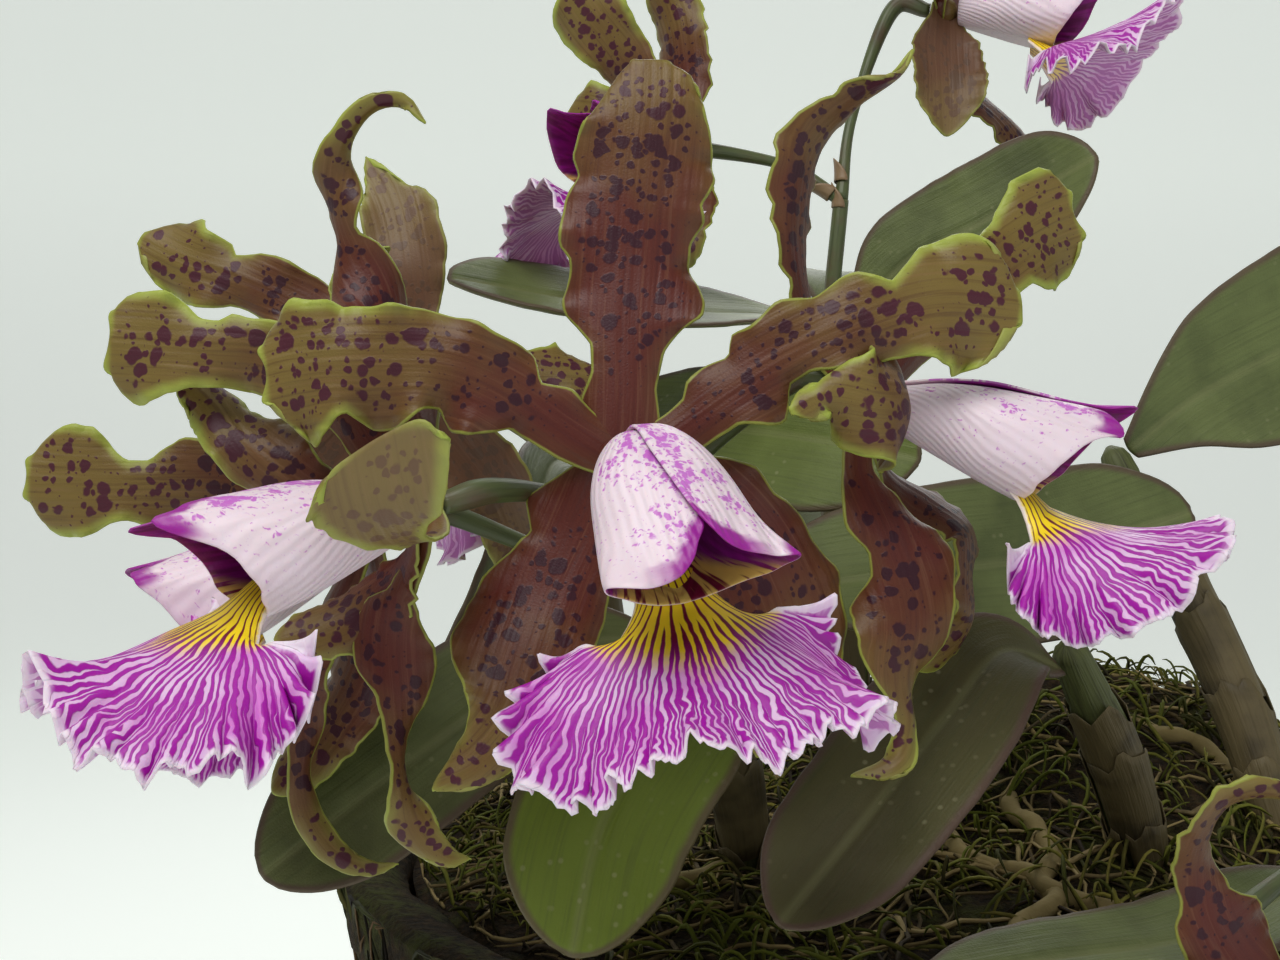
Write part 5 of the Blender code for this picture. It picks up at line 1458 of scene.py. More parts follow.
BACK_RIGHT_BLADES = (
    Blade(
        ((-2, 1, 11), (-5, 2, 21), (-7, 1, 30), (-6, -1, 38)),
        ((0.8, -0.5, 0.3), (0.8, -0.5, 0.2), (0.7, -0.6, -0.2)), 15,
        cup=(0.5, 0.4, 0.8), waves=2.2, wave_height=1.3, phase=2.9,
    ),
    Petal(
        ((-1.5, -8, 6), (-7, -16, 11), (-13, -23, 14), (-19, -29, 14)),
        ((0.9, -0.3, 0.2), (0.4, -0.5, 0.8), (0.2, -0.8, 0.6)), 17,
        phase=0.9,
    ),
    Petal(
        ((5, 8, 7), (11, 15, 14), (18, 20, 21), (26, 22, 27)),
        ((0.6, -0.6, 0.3), (0.4, -0.9, 0.1), (0.2, -1, -0.1)), 17,
        wave_height=1.6, phase=2.1,
    ),
    Lateral(
        ((-1, -4, -9), (-1, -6, -17), (-1, -7, -24), (-1, -7, -30.5)),
        ((-0.4, 0.8, -0.3), (-0.2, 1, -0.2), (-0.1, 1, -0.2)), 19,
        cup=(0.5, 0.6, 0.9), wave_height=1.0, phase=1.2, tip=0.3,
    ),
    Lateral(
        ((4, 12, -9), (12, 20, -14), (21, 24, -20), (28, 25, -29), (32, 23, -40)),
        ((0.9, -0.4, 0.1), (0.3, -0.7, 0.6), (0.5, -0.8, 0.3)), 14,
        cup=(0.5, 0.6, 0.8), phase=0.4,
    ),
)
LOW_RIGHT_BLADES = (
    Blade(
        (
            (-4.5, 2, 5), (-7.5, 2, 10.5), (-8.5, 2, 16), (-8.4, 1, 20.8), (-6.4, -1, 26), (-2.3, -3, 28),
            (2.4, -3.5, 27),
        ),
        ((0, -1, 0.2), (0, -1, 0.1), (0.1, -1, 0), (0.5, -0.8, -0.1), (0.5, -0.7, -0.4), (0.1, -0.6, -0.9)),
        13,
        left=(
            (0, 3), (0.2, 4.6), (0.3, 4.2), (0.4, 2.2), (0.5, 2.8), (0.62, 3.6), (0.76, 3), (0.9, 2.4),
            (1, 1),
        ),
        right=((0, 5), (0.2, 8.5), (0.33, 8), (0.42, 4.6), (0.52, 3.4), (0.65, 3.4), (0.8, 2.8), (1, 1)),
        root=(0, 1, 0), cup=(0.5, 0.5, 0.9), waves=2.2, wave_height=1.0, phase=2.6, tip=0.06, tone=-0.1,
    ),
    Petal(
        ((-10, -3, 0), (-20, -7, 0), (-31, -11, -2), (-42, -13, -6)),
        ((0, -1, 0.2), (0, -1, 0.2), (0, -1, 0.3)), 18,
        cup=(0.4, 0.3, 0.5), waves=3.0, wave_height=1.6, phase=1.4,
    ),
    Petal(
        ((9, 0, 4), (19, -1, 8), (29, -1, 11), (40, 2, 12)),
        ((0, -1, 0.2), (0, -1, 0.1), (0.1, -1, 0.1)), 18,
        cup=(0.4, 0.3, 0.5), waves=3.0, wave_height=1.6, phase=0.2,
    ),
    Lateral(
        ((-8, 2, -9), (-13, 0, -18), (-16, -3, -28), (-16, -5, -38)),
        ((0, -1, 0.1), (-0.1, -1, 0.1), (0, -1, 0.1)), 17,
        waves=2.4, wave_height=1.3, phase=2.0,
    ),
    Lateral(
        ((9, 2, -9), (16, 0, -18), (20, -3, -28), (21, -5, -38)),
        ((0, -1, 0.1), (0.1, -1, 0.1), (0, -1, 0.1)), 17,
        waves=2.4, wave_height=1.3, phase=0.6,
    ),
)
BLOOMS = (
    Bloom(
        "centre", (-47, -100, 201), (0.34, -0.82, -0.46), CENTRE_BLADES, roll=-11, seed=0.6, pitch=-17.0,
        lobe_curl=30.0, lobe_spread=99.0, lobe_lift=0.007, lobe_turn=6.0, grain=Grain.NEAR,
        hood=(1.2, 4.2, 2.6, 0), horn_place=0.5, horn_stain=(0.2, 1),
        margins=(
            (
                (25.3, -8.2, 0), (25.5, -7.6, 3.4), (26.2, -6, 6.6), (28, -3.4, 9.6), (31, -0.5, 12),
                (33.5, 2.2, 12.8), (36, 2.8, 8.6), (35.2, 2.9, 4.8), (34, 4.4, 2.4), (32, 6.6, 0.8),
                (30, 8, -0.6),
            ),
            (
                (25.3, -8.2, 0), (25.5, -7.6, 3.5), (26.5, -6, 7), (29.5, -3, 10.2), (33.5, 0.8, 11.2),
                (36.3, 3.5, 10.4), (35.8, 3.6, 8), (35, 4.2, 5), (34.7, 5.6, 2.2), (33, 7, 0.6),
                (30, 8, -0.6),
            ),
        ),
    ),
    Bloom(
        "right", (-9, -85, 210), (0.91, -0.3, -0.287), RIGHT_BLADES, pitch=-8, seed=2.4, grain=Grain.SIDE,
        lobe_spread=102.0, lobe_lift=0.015, lobe_place=23.6, lobe_rise=-5.2, lobe_size=25.0, frill=1.3,
        margins=(
            (
                (25, -8.2, 0), (25.3, -8, 3), (26.4, -6.4, 6.4), (27.8, -4, 8), (29.6, -0.7, 8.4),
                (32.6, 3.2, 6.4), (36.4, 5, 3.8), (33.4, 7, 2.2), (29, 7.4, 0.8), (27, 7, -0.9),
            ),
            (
                (25, -8.2, 0), (25.3, -8, 3), (26.2, -7, 6), (28, -4.6, 8), (30, -1, 8.4), (32.4, 3.8, 6.2),
                (37, 9.6, 3.4), (33, 8, 2.2), (29, 7.4, 0.8), (27, 7, -0.9),
            ),
        ),
    ),
    Bloom(
        "left", (-74, -105, 194), (-0.81, -0.54, -0.21), LEFT_BLADES, roll=2, pitch=-17, seed=4.0,
        grain=Grain.SIDE, lobe_spread=110.0, lobe_curl=30.0, lobe_place=23.6, lobe_rise=-3.8, lobe_lift=0.008,
        frill=1.35,
        margins=(
            (
                (25, -8.2, 0), (25.3, -8, 3), (26, -6.6, 6.2), (27, -4.2, 8), (28.4, -0.9, 8.2),
                (31.6, 3, 5.6), (37.4, 5.4, 3.4), (33, 6.4, 2.2), (29.5, 7.2, 0.6), (27, 7, -0.9),
            ),
            (
                (25, -8.2, 0), (25.3, -8, 3), (25.6, -7, 6), (26.3, -4.8, 8.2), (27.4, -1.6, 8.8),
                (30, 2.4, 7.2), (35.8, 6.2, 4), (33, 7.6, 2.2), (29.5, 7.6, 0.8), (27, 7, -0.9),
            ),
        ),
    ),
    Bloom(
        "left_low", (-86, -81, 189), (-0.86, -0.38, -0.33), LEFT_LOW_BLADES, roll=4, horn=(34, 7, 5), pitch=3,
        seed=1.3, lobe_size=20.0, lobe_curl=15.0, grain=Grain.SIDE,
    ),
    Bloom(
        "left_far", (-84, -46, 216), (-0.42, 0.87, -0.26), LEFT_FAR_BLADES, seed=3.1,
    ),
    Bloom(
        "back_left", (-37, 14, 271), (-0.56, -0.8, -0.18), BACK_LEFT_BLADES, horn=(35, 8, 6), pitch=-8,
        seed=5.0,
    ),
    Bloom(
        "back_right", (26, 28, 306), (0.93, -0.3, -0.1), BACK_RIGHT_BLADES, horn=(35, 8, 6), pitch=14,
        seed=0.2, lobe_curl=30.0,
    ),
    Bloom(
        "low_right", (36, -119, 131), (0.16, -0.86, -0.48), LOW_RIGHT_BLADES, seed=2.0, grain=Grain.SIDE,
    ),
)


CANES = {
    "front_left": ((-22, -20, 112), (-26, -28, 142), (-35, -41, 171)),
    "right": ((82, -34, 110), (72, -20, 158), (54, -2, 205)),
    "back": ((6, 36, 118), (4, 33, 176), (0, 27, 236)),
    "front_right": ((52, -34, 118), (42, -44, 146), (29, -56, 170)),
    "back_left": ((-44, 30, 112), (-52, 34, 160), (-58, 38, 204)),
    "low_right": ((60, -48, 112), (66, -58, 124), (72, -68, 136)),
    "rear_right": ((44, 56, 118), (46, 62, 146), (46, 70, 174)),
    "rear_left": ((-24, 74, 112), (-28, 78, 148), (-34, 84, 182)),
}
CANE_RADII = (3.4, 4.6, 5.0, 4.2, 3.0)


def cane_top(cane: str) -> tuple[Array, Array]:
    """The top of a cane in mm, and the direction that it points in."""
    below, top = (np.array(point, float) for point in CANES[cane][-2:])
    return top, unit(top - below)


@dataclass
class Cane:
    """A jointed, ribbed cane, wrapped in papery sheaths for most of its height."""

    name: str
    sides: int = 22
    rings: int = 64
    joint_gap: float = 16.0
    bared: float = 0.72
    husk_rows: int = 10
    husk_columns: int = 28
    husk_thickness: float = 0.25

    def build(self) -> None:
        """Makes the cane."""
        share = np.linspace(0, 1, self.rings)
        line = smooth(CANES[self.name], share)
        length = np.linalg.norm(np.diff(line, axis=0), axis=1).sum()
        turn = np.linspace(0, TURN, self.sides, endpoint=False)
        joint = np.abs((share * length / self.joint_gap) % 1 - 0.5) * 2
        pinch = rise(joint, 0.86, 1.0)
        radii = smooth(CANE_RADII, share)[:, None] * (0.97 - 0.05 * pinch[:, None])
        ribs = 0.045 * np.sin(9 * turn) + 0.02 * np.sin(4 * turn + 1.3)
        radii = radii * (1 + ribs * (1 - pinch[:, None]))
        radii *= np.sqrt(np.clip(1.03 - rise(share, 0.965, 1.0) ** 2, 0.05, 1))[:, None]
        shell = Shell().rod(line, radii, self.sides, {"paper": 0.0})
        start = 0.0
        while start < self.bared:
            end = min(start + self.joint_gap / length * 1.25, self.bared + 0.05)
            self.husk(shell, line, share, (start, end))
            start += self.joint_gap / length
        present(shell, f"{self.name}_cane_skin", CaneFinish(), "cane", f"cane_{self.name}")

    def husk(self, shell: Shell, line: Array, share: Array, span: tuple[float, float]) -> None:
        """Adds one papery sheath that clasps the cane and stands off at its torn upper rim.

        Args:
            shell: The piece.
            line: The cane's centre line.
            share: The shares along the cane that the line was read at.
            span: Where the sheath starts and ends, as shares.
        """
        a, turn = net(np.linspace(0, 1, self.husk_rows), self.husk_columns, 0, 1)
        seed = span[0] * 9 + len(self.name)
        tear = 1 + 0.10 * wobble(turn, seed, 5.0) - 0.35 * np.exp(-(((turn - 0.5) / 0.08) ** 2))
        place = np.clip(span[0] + (span[1] - span[0]) * a * tear, 0, 1)
        middle = np.stack([np.interp(place, share, line[:, k]) for k in range(3)], axis=-1)
        up = unit(line[-1] - line[0])
        side = unit(np.cross(up, ASIDE))
        angle = (TURN - 0.25) * turn + 2.4 * seed
        stand = smooth(CANE_RADII, place.ravel()).reshape(place.shape) + 0.15 + 0.55 * a**3
        stand = stand + 0.18 * wobble(turn * 3, seed, 4.0) * a
        points = middle + fan(side, np.cross(up, side), angle) * stand[..., None]
        flat = np.stack([angle * 5, place * 90, np.full_like(angle, seed * 7)], axis=-1)
        shell.sheet(points[:, ::-1], self.husk_thickness, {"paper": 1.0, "flat": flat[:, ::-1]})


STALKS = {
    "front": (
        "front_left",
        ((-39, -50, 183), (-42, -58, 189)),
        {
            "centre": ((-47, -76, 203),),
            "right": ((-36, -72, 200),),
            "left": ((-54, -80, 195),),
            "left_low": ((-56, -70, 186),),
            "left_far": ((-52, -64, 204), (-68, -66, 216)),
        },
    ),
    "back": (
        "back",
        ((1, 26, 252), (2, 26, 262)),
        {"back_left": ((-10, 27, 270),), "back_right": ((5, 29, 282),)},
    ),
    "low_right": (
        "low_right",
        ((76, -76, 146), (69, -86, 149)),
        {"low_right": ((54, -94, 144),)},
    ),
}


@dataclass
class Stalk:
    """A flower stalk: its trunk, and a branch to each bloom that swells to a ribbed ovary."""

    name: str
    trunk_radii: tuple = (1.9, 1.8)
    branch_radii: tuple = (1.6, 1.3, 1.25, 1.7, 1.9, 1.5)
    branch_sides: int = 18
    rings: int = 40
    bract_rows: int = 12
    bract_columns: int = 14
    bract_length: float = 6.0
    bract_reach: float = 1.95
    bract_thickness: float = 0.3

    def build(self, backs: dict[str, Array]) -> None:
        """Makes the stalk.

        Args:
            backs: Two points behind each bloom.
        """
        cane, trunk, branches = STALKS[self.name]
        top, upward = cane_top(cane)
        share = np.linspace(0, 1, self.rings)
        route = np.array([top + upward * SEAT_GAP, top + upward * 3, *trunk], float)
        shell = Shell().rod(smooth(route, share), smooth(self.trunk_radii, share), ROD_SIDES, {"bract": 0.0})
        self.bract(shell, route[-1], unit(route[-1] - route[-2]))
        turn = np.linspace(0, TURN, self.branch_sides, endpoint=False)
        for bloom, points in branches.items():
            line = smooth(np.array([trunk[-1], *points, *backs[bloom]], float), share)
            ribbed = 1 + 0.07 * np.sin(6 * turn) * rise(share, 0.45, 0.8)[:, None]
            radii = smooth(self.branch_radii, share)[:, None] * ribbed
            shell.rod(line, radii, self.branch_sides, {"bract": 0.0})
            self.bract(shell, line[4], unit(line[5] - line[3]))
        present(shell, f"{self.name}_stalk_skin", StalkFinish(), "stalk", f"stalk_{self.name}")

    def bract(self, shell: Shell, place: Array, heading: Array) -> None:
        """Adds a small pointed bract that clasps the stalk.

        Args:
            shell: The piece.
            place: A point on the stalk's centre line.
            heading: Where the stalk goes.
        """
        a, v = net(np.linspace(0, 1, self.bract_rows), self.bract_columns, -1, 1)
        side = unit(np.cross(heading, (0.2, 0.9, -0.3)))
        reach = self.bract_reach + 0.7 * a**2
        ring = fan(side, np.cross(heading, side), v * (1 - a**1.5) * 2.2) * reach[..., None]
        points = place + ring + heading * ((a - 0.3) * self.bract_length)[..., None]
        flat = np.stack([v * 3, a * 6, np.zeros_like(a)], axis=-1)
        shell.sheet(points[:, ::-1], self.bract_thickness, {"bract": 1.0, "flat": flat})


@dataclass
class Leaf:
    """A leathery leaf that rides the side of its cane just under the top."""

    name: str
    cane: str
    seat: float
    spine: Stations
    faces: Stations
    width: float
    tone: float = 0.0
    seat_drop: float = 2.0
    rows: int = 54
    columns: int = 26

    def build(self, number: int) -> None:
        """Makes the leaf.

        Args:
            number: Its place in the list, which shifts its markings.
        """
        top, upward = cane_top(self.cane)
        out = np.array(self.spine[0], float) - top
        out = unit(out - upward * np.dot(out, upward))
        blade = Blade(
            self.spine, self.faces, self.width, outline=LEAF, cup=(-0.5, -0.35, -0.25), waves=1,
            wave_height=0.6, tip=0.2, crimp=0.12, scallop=0.008, thickness=1.5, keel=0.7, tone=self.tone,
            root=tuple(top - upward * self.seat_drop + out * self.seat),
        )
        shell = blade.grow(np.zeros(3), self.rows, self.columns, number, Shell())
        present(shell, f"{self.name}_leaf_skin", LeafFinish(), "leaf", f"leaf_{self.name}")


LEAVES = (
    Leaf(
        "left_low", "front_left", 3.75, ((-54, -47, 169), (-70, -59, 160), (-88, -67, 147), (-104, -73, 135)),
        ((0, -0.6, 0.8), (0, -0.8, 0.6), (0.1, -0.9, 0.4)), 27, tone=-0.3,
    ),
    Leaf(
        "right_broad", "front_left", 3.45, ((-14, -39, 178), (8, -36, 181), (34, -33, 184), (60, -31, 192)),
        ((0, -0.5, 0.9), (0, -0.9, 0.4), (0, -1, 0.3)), 33,
    ),
    Leaf(
        "centre_low", "front_left", 3.55,
        ((-31, -60, 166), (-41, -74, 158), (-50, -83, 145), (-54, -90, 128)),
        ((0, -0.2, 1), (0, -0.7, 0.7), (0, -1, 0.2)), 29, tone=0.75,
    ),
    Leaf(
        "right_big", "right", 3.92, ((72, -1, 215), (93, 0, 226), (117, 1, 236), (141, 3, 242)),
        ((0.1, -1, 0.1), (0, -1, 0.1), (0, -1, 0.3)), 40,
    ),
    Leaf(
        "front_right", "front_right", 4.51, ((15, -68, 170), (4, -77, 161), (-10, -88, 148), (-24, -98, 135)),
        ((-0.5, -0.8, 0.6), (-0.4, -0.8, 0.5), (-0.4, -0.8, 0.4)), 25, tone=-0.65,
    ),
    Leaf(
        "back_right", "back", 4.37, ((16, 21, 247), (30, 14, 254), (43, 7, 261), (52, 0, 266)),
        ((-0.2, -0.9, 0.4), (-0.3, -0.9, 0.3), (-0.2, -0.9, 0.4)), 28,
    ),
    Leaf(
        "back_left", "back", 3.35, ((-18, 12, 234), (-38, -4, 233), (-60, -18, 234), (-80, -30, 236)),
        ((0, -0.3, 1), (0, -0.5, 0.9), (0, -0.6, 0.8)), 30,
    ),
    Leaf(
        "rear", "back", 3.85, ((6, 44, 246), (14, 62, 250), (22, 82, 246), (28, 98, 236)),
        ((0, 0, 1), (0, 0.1, 1), (0, 0.3, 1)), 34,
    ),
    Leaf(
        "behind", "back_left", 3.65, ((-44, 23, 210), (-28, 4, 209), (-8, -14, 206), (10, -24, 202)),
        ((0.2, -0.9, 0.5), (0.1, -1, 0.3), (0, -1, 0.2)), 34, tone=0.3,
    ),
    Leaf(
        "behind_left", "back_left", 3.5, ((-64, 18, 201), (-66, -4, 187), (-71, -24, 169), (-82, -38, 149)),
        ((0.5, -0.5, 0.6), (0.8, -0.6, 0.3), (0.8, -0.6, 0.1)), 24,
    ),
    Leaf(
        "back_outer", "back_left", 4.2, ((-74, 48, 214), (-92, 56, 220), (-112, 62, 220), (-128, 66, 214)),
        ((0, -0.3, 1), (0, -0.3, 1), (-0.2, -0.2, 1)), 32,
    ),
    Leaf(
        "low_right", "low_right", 3.58, ((56, -80, 134), (38, -89, 130), (16, -95, 129), (-4, -99, 127)),
        ((0, -0.3, 1), (0, -0.2, 1), (0, -0.2, 1)), 20,
    ),
    Leaf(
        "rear_right", "rear_right", 4.62, ((60, 80, 184), (73, 94, 188), (84, 108, 183), (92, 120, 172)),
        ((0, -0.2, 1), (0, 0, 1), (0.2, 0.3, 1)), 32,
    ),
    Leaf(
        "rear_inner", "rear_right", 4.56, ((34, 82, 184), (24, 99, 190), (12, 115, 187), (0, 128, 176)),
        ((0, -0.2, 1), (0, 0, 1), (0, 0.3, 1)), 30, tone=0.4,
    ),
    Leaf(
        "rear_left", "rear_left", 4.14, ((-44, 96, 192), (-58, 108, 196), (-74, 118, 192), (-88, 126, 182)),
        ((0, -0.2, 1), (0, 0, 1), (-0.1, 0.3, 1)), 32,
    ),
)


MOSS = StrandFinish("moss_green", tint(46, 42, 18), tint(132, 124, 56), tint(94, 102, 32))
ROOT = StrandFinish("root_fibre", tint(50, 40, 26), tint(150, 132, 88), tint(96, 102, 50))
FIBRE = StrandFinish("pot_fibre", tint(24, 18, 12), tint(96, 74, 50), tint(70, 76, 34))
STRAND_SIDES = 3
# The size and height in mm of each set of lumps
CLODS = ((17.0, 1.6), (9.0, 1.1), (4.6, 0.7), (2.4, 0.35))
# Where each thick root starts, in degrees round the pot and mm from its middle, and how far it turns
CREEPERS = ((-100, 24, 34), (-66, 30, -30), (-128, 38, -26), (-15, 40, -28), (150, 30, 34))
CREEPER_RADII = (2.0, 1.8, 1.6)


@dataclass
class Pot:
    """The tree-fern fibre pot with its mounded medium, in the pot's own frame."""

    base_radius: float = 104.0
    rim_radius: float = 125.0
    height: float = 120.0
    wall: float = 13.0
    floor: float = 14.0
    mound_top: tuple = (45.0, 15.0)
    mound_spread: float = 62.0
    mound_rise: float = 32.0
    mound_edge: float = 5.0
    floor_steps: int = 12
    wall_steps: int = 40
    inside_steps: int = 16
    wall_sides: int = 190
    ground_sides: int = 200
    ground_rings: int = 60
    moss_count: int = 2350
    root_count: int = 850
    fibre_count: int = 2050
    strand_steps: int = 7
    root_steps: int = 11
    creeper_rings: int = 60
    creeper_sides: int = 12
    draw: np.random.Generator = field(default_factory=lambda: np.random.default_rng(41))

    def ground(self, x: Array, y: Array) -> Array:
        """The medium's height above the floor of the frame.

        Args:
            x: In mm.
            y: In mm.

        Returns:
            Heights in mm.
        """
        share = np.hypot(x, y) / (self.rim_radius - self.wall)
        away = np.hypot(x - self.mound_top[0], y - self.mound_top[1]) / self.mound_spread
        swell = self.mound_edge + self.mound_rise * np.exp(-(away**2))
        lumps = 1.2 * np.sin(x / 11 + 1) * np.cos(y / 13)
        return self.height + (swell + lumps) * np.clip(1 - share**6, 0, 1) - 4

    def clods(self, x: Array, y: Array) -> Array:
        """Small lumps on the ground, in mm."""
        total = np.zeros_like(x)
        for k, (size, high) in enumerate(CLODS):
            lean = 0.7 * k
            u, w = x * math.cos(lean) + y * math.sin(lean), y * math.cos(lean) - x * math.sin(lean)
            total += high * np.sin(u / size * 2 + k + 1.3 * np.sin(w / size)) * np.cos(w / size * 2 + 2 * k)
        return total

    def build(self) -> None:
        """Makes the pot, the medium, and the moss, fibres and roots on both."""
        present(self.wall_shell(), "pot_fibre_wall", CrumbFinish("fern_wall"), "fibre", "pot")
        ground = CrumbFinish("crumb_ground")
        present(self.medium_shell(), "medium_ground", ground, "medium", "medium_with_roots")
        present(self.moss(), "moss_strands", MOSS, "medium")
        present(self.roots(), "root_strands", ROOT, "medium")
        present(self.wall_fibres(), "pot_wall_fibres", FIBRE, "fibre")

    def turned(self, points: Array) -> Shell:
        """A body of rings of points in the pot's own frame."""
        spots = points.reshape(-1, 3)
        return Shell().add(spots - PLANTED, tubes(1, *points.shape[:2]), {"flat": spots})

    def wall_shell(self) -> Shell:
        """The pot's wall and floor as one rough turned body."""
        base, rim, wall = self.base_radius, self.rim_radius, self.wall
        outer = [(r, 0.0) for r in np.linspace(1.0, base - 2, self.floor_steps)] + [(base, 1.5)]
        high = self.height
        outer += [(base + (rim - base) * s, high * s) for s in np.linspace(0.03, 0.96, self.wall_steps)]
        rounded = [(rim - 0.6, high - 1.5), (rim - 3, high), (rim - wall + 4, high - 0.5)]
        inner = [
            (rim - wall - (rim - base) * s, (high - 3) * (1 - s) + self.floor * s)
            for s in np.linspace(0, 1, self.inside_steps)
        ]
        profile = np.array(outer + rounded + inner + [(40.0, self.floor), (1.0, self.floor)])
        turn = np.linspace(0, TURN, self.wall_sides, endpoint=False)
        r, z = profile[:, :1], profile[:, 1:]
        rough = self.clods(turn[None] * 110 + 0 * z, z * 1.3 + 40) * 0.75
        lip = 1 - rise(z, high - 3, high + 1) * 0.5
        lively = rise(r, base - 4, base - 1) * rise(z, 0.5, 8.0) * lip
        return self.turned(upright(r + rough * lively, turn, z))

    def medium_shell(self) -> Shell:
        """The mounded ground, closed below."""
        foot, edge = self.base_radius - self.wall - 0.4, self.rim_radius - self.wall - 1.2
        turn = np.linspace(0, TURN, self.ground_sides, endpoint=False)
        reach = np.linspace(edge, 0.6, self.ground_rings)[:, None]
        x, y = reach * np.cos(turn), reach * np.sin(turn)
        inner = 1 - rise(reach, edge - 4, edge)
        top = upright(reach, turn, self.ground(x, y) + self.clods(x, y) * inner - 0.8)
        return self.turned(np.concatenate([upright(foot, turn, self.floor + 0.4)[None], top]))

    def strew(self, lines: Array, radii: Array, tone: Array, green: Array) -> Shell:
        """Many thin strands at once.

        Args:
            lines: Centre lines in the pot's frame, strands by points.
            radii: A radius for each strand.
            tone: Light or dark, from 0 to 1, for each strand.
            green: How mossy each strand is, from 0 to 1.

        Returns:
            The strands.
        """
        count, steps = lines.shape[:2]
        heading = unit(np.gradient(lines, axis=1))
        side = unit(np.cross(heading, np.array((0.3, 0.2, 0.93))))
        taper = np.sqrt(np.clip(1.05 - np.linspace(-0.75, 1, steps) ** 2, 0.03, 1))
        turn = np.arange(STRAND_SIDES) * 2 * math.pi / STRAND_SIDES
        ring = fan(side[:, :, None], np.cross(heading, side)[:, :, None], turn)
        flat = (lines[:, :, None] + ring * (radii[:, None] * taper)[:, :, None, None]).reshape(-1, 3)
        each = steps * STRAND_SIDES
        values = {"flat": flat, "tone": np.repeat(tone, each), "green": np.repeat(green, each)}
        return Shell().add(flat - PLANTED, tubes(count, steps, STRAND_SIDES), values)

    def scatter(self, count: int) -> tuple[Array, Array, Array]:
        """Random places on the ground inside the rim.

        Args:
            count: How many.

        Returns:
            x, y and a heading angle for each.
        """
        reach = (self.rim_radius - self.wall - 4) * np.sqrt(self.draw.random(count))
        turn = self.draw.random(count) * 2 * math.pi
        return reach * np.cos(turn), reach * np.sin(turn), self.draw.random(count) * 2 * math.pi

    def run(self, turn: Array, length: Array) -> list[Array]:
        """How far strands of given headings and lengths have run at each step, along x and along y."""
        steps = turn.shape[1]
        return [np.cumsum(way(turn), axis=1) / steps * length[:, None] for way in (np.cos, np.sin)]

    def trail(self, start: Sequence[Array], turn: Array, length: Array, most: float) -> tuple[Array, Array]:
        """Tracks of strands over the ground.

        Args:
            start: x and y where each starts.
            turn: Headings, strands by steps.
            length: The strands' lengths.
            most: How far from the pot's middle they may come.

        Returns:
            x and y, strands by steps.
        """
        x, y = (place[:, None] + part for place, part in zip(start, self.run(turn, length)))
        keep = np.minimum(1, most / np.maximum(np.hypot(x, y), 1))
        return x * keep, y * keep

    def moss(self) -> Shell:
        """Curly moss strands in clumps over the ground and the rim."""
        draw, count = self.draw, self.moss_count
        x, y, way = self.scatter(count)
        s = np.linspace(0, 1, self.strand_steps)
        length = 5 + 13 * draw.random(count) ** 1.6
        curve = (draw.random(count) - 0.5) * 3.4
        px, py = self.trail((x, y), way[:, None] + curve[:, None] * s, length, self.rim_radius - 6)
        arch = (1.5 + 5.5 * draw.random(count))[:, None] * np.sin(s * (1.6 + draw.random(count)[:, None]))
        over = rise(np.hypot(px, py), self.rim_radius - self.wall - 6, self.rim_radius - self.wall + 1)
        z = np.where(over > 0.5, self.height + 0.4, self.ground(px, py)) + arch - 0.6
        patch = np.sin(x / 19 + 0.6) * np.cos(y / 23 + 1.0) + 0.6 * np.sin(x / 8) * np.sin(y / 7)
        green = np.clip(0.45 + 0.4 * patch + 0.25 * draw.standard_normal(count), 0, 1)
        radii = 0.22 + 0.30 * draw.random(count)
        return self.strew(np.stack([px, py, z], axis=-1), radii, draw.random(count), green)

    def roots(self) -> Shell:
        """Fibrous and aerial roots that creep over the medium."""
        draw, count = self.draw, self.root_count
        *start, way = self.scatter(count)
        s = np.linspace(0, 1, self.root_steps)
        length = 12 + 38 * draw.random(count) ** 1.5
        bend = np.cumsum(draw.standard_normal((count, self.root_steps)) * 0.32, axis=1)
        x, y = self.trail(start, way[:, None] + bend, length, self.rim_radius - self.wall - 3)
        lift = (0.3 + 2.2 * draw.random(count))[:, None] * np.sin(math.pi * s) + 0.4
        z = self.ground(x, y) + self.clods(x, y) * 0.6 + lift - 0.5
        radii = 0.28 + 0.45 * draw.random(count) ** 2
        tone = draw.random(count) ** 0.7
        shell = self.strew(np.stack([x, y, z], axis=-1), radii, tone, np.zeros(count))
        for angle, start, sweep in CREEPERS:
            self.creeper(shell, angle, start, sweep)
        return shell

    def creeper(self, shell: Shell, angle: float, start: float, sweep: float) -> None:
        """Adds one thick pale root.

        Args:
            shell: The piece.
            angle: Where it starts, in degrees round the pot.
            start: How far out it starts, in mm.
            sweep: How far it turns round the pot, in degrees.
        """
        share = np.linspace(0, 1, self.creeper_rings)
        turn = np.radians(angle + sweep * share + 2.5 * wobble(share, angle, 3.0))
        reach = start + (self.rim_radius - self.wall - 13 - start) * share
        z = self.ground(reach * np.cos(turn), reach * np.sin(turn))
        z = z + 0.8 - 3.0 * (2 * share - 1) ** 6 + 0.4 * wobble(share, angle + 1, 5.0)
        radii = smooth(CREEPER_RADII, share) * (1 + 0.08 * wobble(share, angle + 2, 9.0))
        shell.rod(upright(reach, turn, z) - PLANTED, radii, self.creeper_sides, {"tone": 0.9, "green": 0.12})

